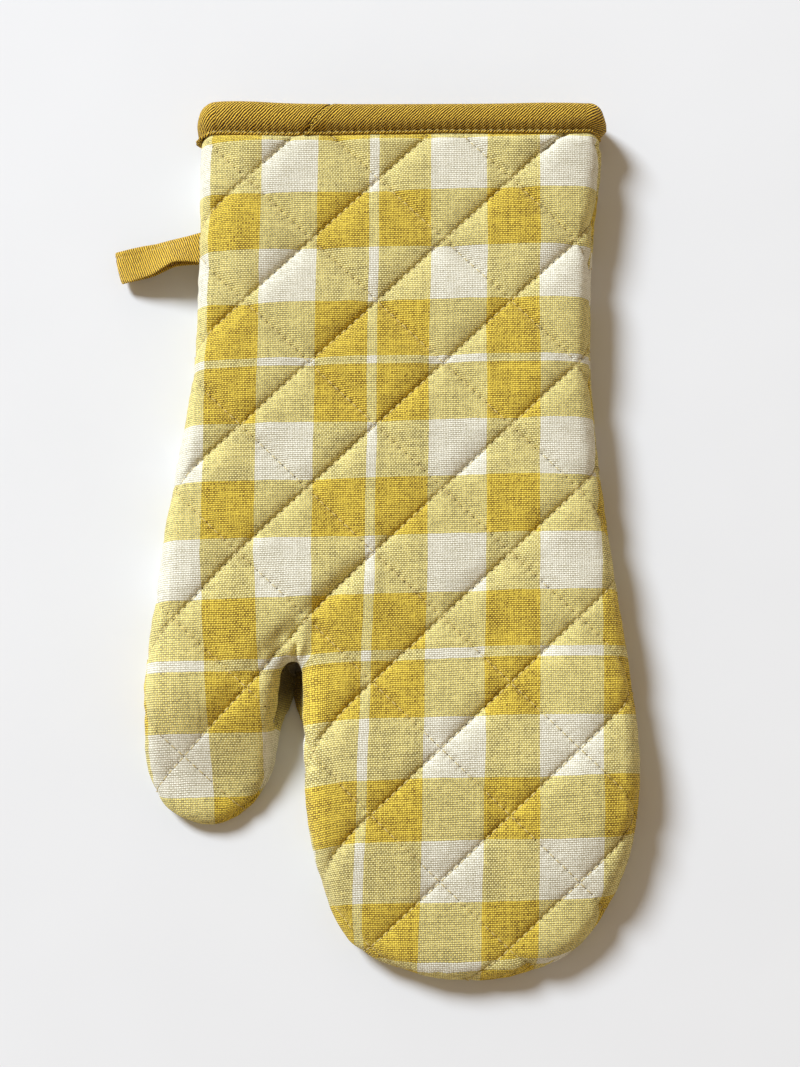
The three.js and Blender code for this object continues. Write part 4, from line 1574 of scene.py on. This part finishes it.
def plain_weave(finish, u, v, warp_pitch, weft_pitch):
    """Plain weave: yarn numbers both ways, which yarn is on top, and the yarns' height."""
    warp_at = u / warp_pitch
    weft_at = v / weft_pitch
    warp = finish.floor(warp_at)
    weft = finish.floor(weft_at)
    across_warp = (warp_at - warp) * 2 - 1
    across_weft = (weft_at - weft) * 2 - 1
    round_warp = 1 - across_warp * across_warp
    round_weft = 1 - across_weft * across_weft
    weft_over = finish.fraction((warp + weft) * 0.5) > 0.25
    warp_height = round_warp * lerp(*WARP_HEIGHT, round_weft)
    weft_height = round_weft * lerp(*WEFT_HEIGHT, round_warp)
    return warp, weft, weft_over, lerp(warp_height, weft_height, weft_over)


def is_mustard(finish, place, check):
    """1 where a yarn is mustard: two bands either side of the thin white stripe."""
    away = finish.math("PINGPONG", place - check["middle"], check["half"])
    stripe, band, next_band = check["edges"]
    return (away > stripe) * (away < band) + (away > next_band)


def needle_hole_shade(finish):
    """1 in the quilting's needle holes, and less along the crease of a rising seam: the mask of
    painted shade there, which also lowers the relief.
    """
    down, up = finish.map_place("quilt")
    marks = []
    for across, along, spacing in ((down, up, ROW_SPACING_DOWN), (up, down, ROW_SPACING_UP)):
        off = (finish.fraction(across + 0.5) - 0.5) * spacing
        from_hole = finish.fraction(along * STITCHES_A_STEP + 0.5) - 0.5
        along_hole = from_hole * (spacing / STITCHES_A_STEP)
        ragged = 1 + (finish.noise(down * 40, up * 40, 1.0) - 0.5) * NEEDLE_HOLE_SHADE["ragged"]
        distance = finish.math("SQRT", off * off + along_hole * along_hole) * ragged
        marks.append(1 - finish.ramp(distance, NEEDLE_HOLE_SHADE["dark"], NEEDLE_HOLE_SHADE["gone"]))
        if across is down:
            lobe = 0.5 + 0.5 * finish.math("COSINE", (from_hole + 0.5) * 2 * math.pi)
            from_crease = finish.math("ABSOLUTE", off + (1 - lobe) * SCALLOP)
            crease = 1 - finish.ramp(from_crease, SEAM_CREASE_SHADE["dark"], SEAM_CREASE_SHADE["gone"])
            marks.append(crease * SEAM_CREASE_SHADE["strength"])
    hole, crease, other_hole = marks
    return finish.math("MAXIMUM", finish.math("MAXIMUM", hole, crease), other_hole)


def check_cotton():
    """Plain-weave check cotton, mustard and off-white, with the needle holes of its quilting."""
    finish = Finish("check_cotton")
    u, v = finish.map_place("cloth")
    wander = finish.noise(u, v, CHECK_WANDER["scale"]) - 0.5
    other_wander = finish.noise(v + 40, u, CHECK_WANDER["scale"]) - 0.5
    u_yarn = u + wander * CHECK_WANDER["by"]
    v_yarn = v + other_wander * CHECK_WANDER["by"]
    warp, weft, weft_over, height = plain_weave(finish, u_yarn, v_yarn, WARP_PITCH, WEFT_PITCH)
    warp_mustard = is_mustard(finish, (warp + 0.5) * WARP_PITCH, WARP_CHECK)
    weft_mustard = is_mustard(finish, (weft + 0.5) * WEFT_PITCH, WEFT_CHECK)
    top = lerp(warp_mustard, weft_mustard, weft_over)
    under = warp_mustard + weft_mustard - top
    crossing = finish.math("ABSOLUTE", warp_mustard - weft_mustard)
    mustard = top * CHECK_MIX["top"] + under * CHECK_MIX["under"]
    mustard = mustard + crossing * CHECK_MIX["crossing"]
    yarn = finish.mix(mustard, WHITE_YARN, MUSTARD_YARN)
    yarn = finish.mix(crossing * CROSSING_STRENGTH, yarn, CROSSED_YARN)
    deep = finish.mix(mustard, WHITE_DEEP, MUSTARD_DEEP)
    deep = finish.mix(crossing * CROSSING_STRENGTH, deep, CROSSED_DEEP)
    weft_slub = finish.noise(u * SLUB["along"], v * SLUB["across"], SLUB["scale"])
    warp_slub = finish.noise(u * SLUB["across"], v * SLUB["along"], SLUB["scale"])
    slub = weft_slub + warp_slub - 1
    tone = finish.scatter(warp, 3.0) + finish.scatter(weft, 8.0) - 1
    grain = finish.scatter(finish.floor((warp + weft) * 0.5), weft) - 0.5
    mottle = finish.noise(u, v, MOTTLE_SCALE) - 0.5
    # The yarns' height lightens their tops and darkens their gaps: painted shade of the weave, with
    # real tone added
    shown = height * CHECK_LIGHT["height"] + slub * CHECK_LIGHT["slub"]
    shown = shown + tone * CHECK_LIGHT["tone"] + grain * CHECK_LIGHT["grain"]
    shown = shown + mottle * CHECK_LIGHT["mottle"] - CHECK_CONTRAST["about"]
    shown = shown * (1 + mustard * CHECK_CONTRAST["mustard"]) + CHECK_CONTRAST["level"]
    colour = finish.mix(finish.clamped(shown), deep, yarn)
    # Painted shade in the needle holes and along the rising seams' crease
    holes = needle_hole_shade(finish)
    colour = finish.mix(holes * NEEDLE_HOLE_SHADE["strength"], colour, HOLE_SHADE_COLOUR)
    # Painted shade: the back panel's cloth darkened deep in the notch
    shade, _ = finish.map_place("shade")
    colour = finish.mix(shade * NOTCH_SHADE_STRENGTH, colour, SHADE_COLOUR)
    raised = height * (1 + slub * CHECK_RELIEF["slub"]) + grain * CHECK_RELIEF["grain"] - holes
    return finish.cloth(colour, raised, CHECK_RELIEF["depth"], roughness=0.92, sheen=0.12)


def lining_cotton():
    """Plain natural cotton inside the mitt."""
    finish = Finish("lining_cotton")
    x, y, _ = finish.object_place()
    _, _, _, height = plain_weave(finish, x, y, LINING_PITCH, LINING_PITCH)
    mottle = finish.noise(x, y, LINING_MOTTLE["scale"]) - 0.5
    shown = height * LINING_LIGHT + mottle * LINING_MOTTLE["by"]
    colour = finish.mix(finish.clamped(shown), LINING_DEEP, LINING_YARN)
    return finish.cloth(colour, height, LINING_RELIEF, roughness=0.95, sheen=0.1)


def bias_cotton(name, pressed, painted_light):
    """Mustard cotton whose fine ribs slant across the strip: darker beside its topstitching by
    painted shade, and paler all over by painted light."""
    finish = Finish(name)
    along, across = finish.map_place("strip")
    wander = (finish.noise(along, across, BIAS_WANDER["scale"]) - 0.5) * BIAS_WANDER["by"]
    level, upright = math.cos(BIAS_RIBS["slant"]), math.sin(BIAS_RIBS["slant"])
    over_ribs = along * level - across * upright + wander
    down_ribs = along * upright + across * level
    rib_at = over_ribs / BIAS_RIBS["pitch"]
    rib = finish.floor(rib_at)
    off = (rib_at - rib) * 2 - 1
    knuckle = finish.fraction(down_ribs / BIAS_RIBS["knuckle"] + rib * 0.5) * 2 - 1
    dip = BIAS_RIBS["dip"] * (knuckle * knuckle)
    # Rounded ribs, lighter on top and darker in the grooves between them: painted shade of the ribs
    rounded = (1 - finish.math("ABSOLUTE", off)) * (1 - dip)
    tone = (finish.scatter(rib, 2.0) - 0.5) * BIAS_LIGHT["tone"]
    speckle = finish.noise(along, across, BIAS_SPECKLE_SCALE) - 0.5
    speckle = speckle * BIAS_LIGHT["speckle"]
    # The band of painted shade beside the topstitching
    starts, full, still_full, gone = PAINTED_SHADE_ACROSS
    beside_stitches = finish.ramp(across, starts, full)
    beside_stitches = beside_stitches * (1 - finish.ramp(across, still_full, gone))
    beside_stitches = beside_stitches * finish.ramp(along, *PAINTED_SHADE_ALONG)
    contrast = BIAS_CONTRAST["by"] + beside_stitches * (pressed * BIAS_CONTRAST["pressed"])
    # Painted light lifts the whole cloth, and painted shade darkens the band
    shown = (rounded - BIAS_CONTRAST["about"]) * contrast + BIAS_CONTRAST["level"] + painted_light
    shown = shown + tone + speckle - beside_stitches * pressed
    colour = finish.mix(finish.clamped(shown), BIAS_DEEP, BIAS_YARN)
    raised = rounded + speckle * BIAS_RELIEF["speckle"]
    return finish.cloth(colour, raised, BIAS_RELIEF["depth"], roughness=0.88, sheen=0.1)


def sewing_thread():
    """Twisted mustard sewing thread."""
    finish = Finish("sewing_thread")
    x, y, z = finish.object_place()
    twist = finish.fraction((x + y * THREAD_LEAN + z) / THREAD_TWIST)
    ply = 1 - (twist * 2 - 1) * (twist * 2 - 1)
    colour = finish.mix(ply, THREAD_DEEP, THREAD_COLOUR)
    return finish.cloth(colour, ply, THREAD_RELIEF, roughness=0.6, sheen=0.1)


def pale_floor():
    """The pale surface that the mitt lies on."""
    finish = Finish("pale_floor")
    x, y, _ = finish.object_place()
    grain = finish.noise(x, y, FLOOR_GRAIN)
    colour = finish.mix(grain, FLOOR_DARK, FLOOR_PALE)
    return finish.cloth(colour, grain, FLOOR_RELIEF, roughness=0.9, sheen=0.0)


# Floor and lamp, in metres, and the surround's strength between two heights of the sky
FLOOR_HALF = 3.0
FLOOR_HEIGHT = -0.0001
LAMP = {"azimuth": math.radians(134), "elevation": math.radians(36), "distance": 7.0}
LAMP_SIZE = 2.3
LAMP_ENERGY = 762
LAMP_COLOUR = (0.82, 0.90, 1.0)
SURROUND_COLOUR = (1.0, 0.80, 0.58, 1)
SURROUND_RANGE = {"From Min": 0.5, "From Max": 0.95, "To Min": 0.53, "To Max": 0.18}

# Camera, over the mitt's plan
CAMERA_PLACE = np.array((0, -83.5, 603.2))
CAMERA_TIP = math.radians(8)
CAMERA_LENS = 55.22
CAMERA_SENSOR = 36


def lay_floor():
    """A wide floor a hair's breadth under the mitt."""
    mesh = bpy.data.meshes.new("floor")
    corners = [(-1, -1), (1, -1), (1, 1), (-1, 1)]
    corners = [(x * FLOOR_HALF, y * FLOOR_HALF, FLOOR_HEIGHT) for x, y in corners]
    mesh.from_pydata(corners, [], [(0, 1, 2, 3)])
    mesh.materials.append(pale_floor())
    floor = put_in_scene("floor", mesh)


def set_lamp():
    """A large soft lamp to the upper left."""
    lamp = bpy.data.lights.new("key", "AREA")
    lamp.shape = "DISK"
    lamp.size = LAMP_SIZE
    lamp.energy = LAMP_ENERGY
    lamp.color = LAMP_COLOUR
    level = math.cos(LAMP["elevation"])
    toward = Vector(
        (
            math.cos(LAMP["azimuth"]) * level,
            math.sin(LAMP["azimuth"]) * level,
            math.sin(LAMP["elevation"]),
        )
    )
    key = put_in_scene("key", lamp)
    key.location = toward * LAMP["distance"]
    key.rotation_euler = toward.to_track_quat("Z", "Y").to_euler()


def set_surround():
    """A weak warm light from all round, dimmer overhead."""
    world = bpy.data.worlds.new("surround")
    world.use_nodes = True
    tree = world.node_tree
    place = tree.nodes.new("ShaderNodeTexCoord")
    parts = tree.nodes.new("ShaderNodeSeparateXYZ")
    overhead = tree.nodes.new("ShaderNodeMapRange")
    overhead.interpolation_type = "SMOOTHSTEP"
    for title, value in SURROUND_RANGE.items():
        overhead.inputs[title].default_value = value
    background = tree.nodes["Background"]
    background.inputs["Color"].default_value = SURROUND_COLOUR
    tree.links.new(place.outputs["Generated"], parts.inputs["Vector"])
    tree.links.new(parts.outputs["Z"], overhead.inputs["Value"])
    tree.links.new(overhead.outputs["Result"], background.inputs["Strength"])
    bpy.context.scene.world = world
    bpy.context.scene.view_settings.view_transform = "Standard"


def set_camera():
    """Nearly overhead, tipped a little, at the photograph's distance and framing."""
    lens = bpy.data.cameras.new("camera")
    lens.sensor_width = CAMERA_SENSOR
    lens.lens = CAMERA_LENS
    camera = put_in_scene("camera", lens)
    camera.location = Vector(to_metres(CAMERA_PLACE))
    camera.rotation_euler = (CAMERA_TIP, 0, 0)
    bpy.context.scene.camera = camera


def dress_mitt():
    """Every piece of the mitt, each with its place in the model and its finish."""
    check = check_cotton()
    lining = lining_cotton()
    # The binding gets painted shade beside its topstitching and a little painted light; the loop
    # gets more painted light and no such shade
    binding_cloth = bias_cotton("binding_cotton", pressed=0.4, painted_light=0.15)
    loop_cloth = bias_cotton("loop_cotton", pressed=0.0, painted_light=0.5)
    thread = sewing_thread()
    tree = stitch_tree()
    pieces = []
    for side in ("front", "back"):
        cloth = panel(side, [check, lining])
        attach(cloth, "root")
        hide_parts(f"{side}_panel")
        pieces.append(quilting_stitches(side, tree, QUILTING_BEAD, thread))
    strip = cuff_binding(binding_cloth)
    tape = hanging_loop(loop_cloth)
    for piece, node in ((strip, "cuff_binding"), (tape, "hanging_loop")):
        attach(piece, "root")
        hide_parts(node)
    pieces.append(binding_stitches(tree, TOPSTITCH_BEAD, thread))
    pieces.append(loop_stitches(tree, TOPSTITCH_BEAD, thread))
    for piece in pieces:
        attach(piece, "root")


set_camera()
set_lamp()
set_surround()
lay_floor()
dress_mitt()
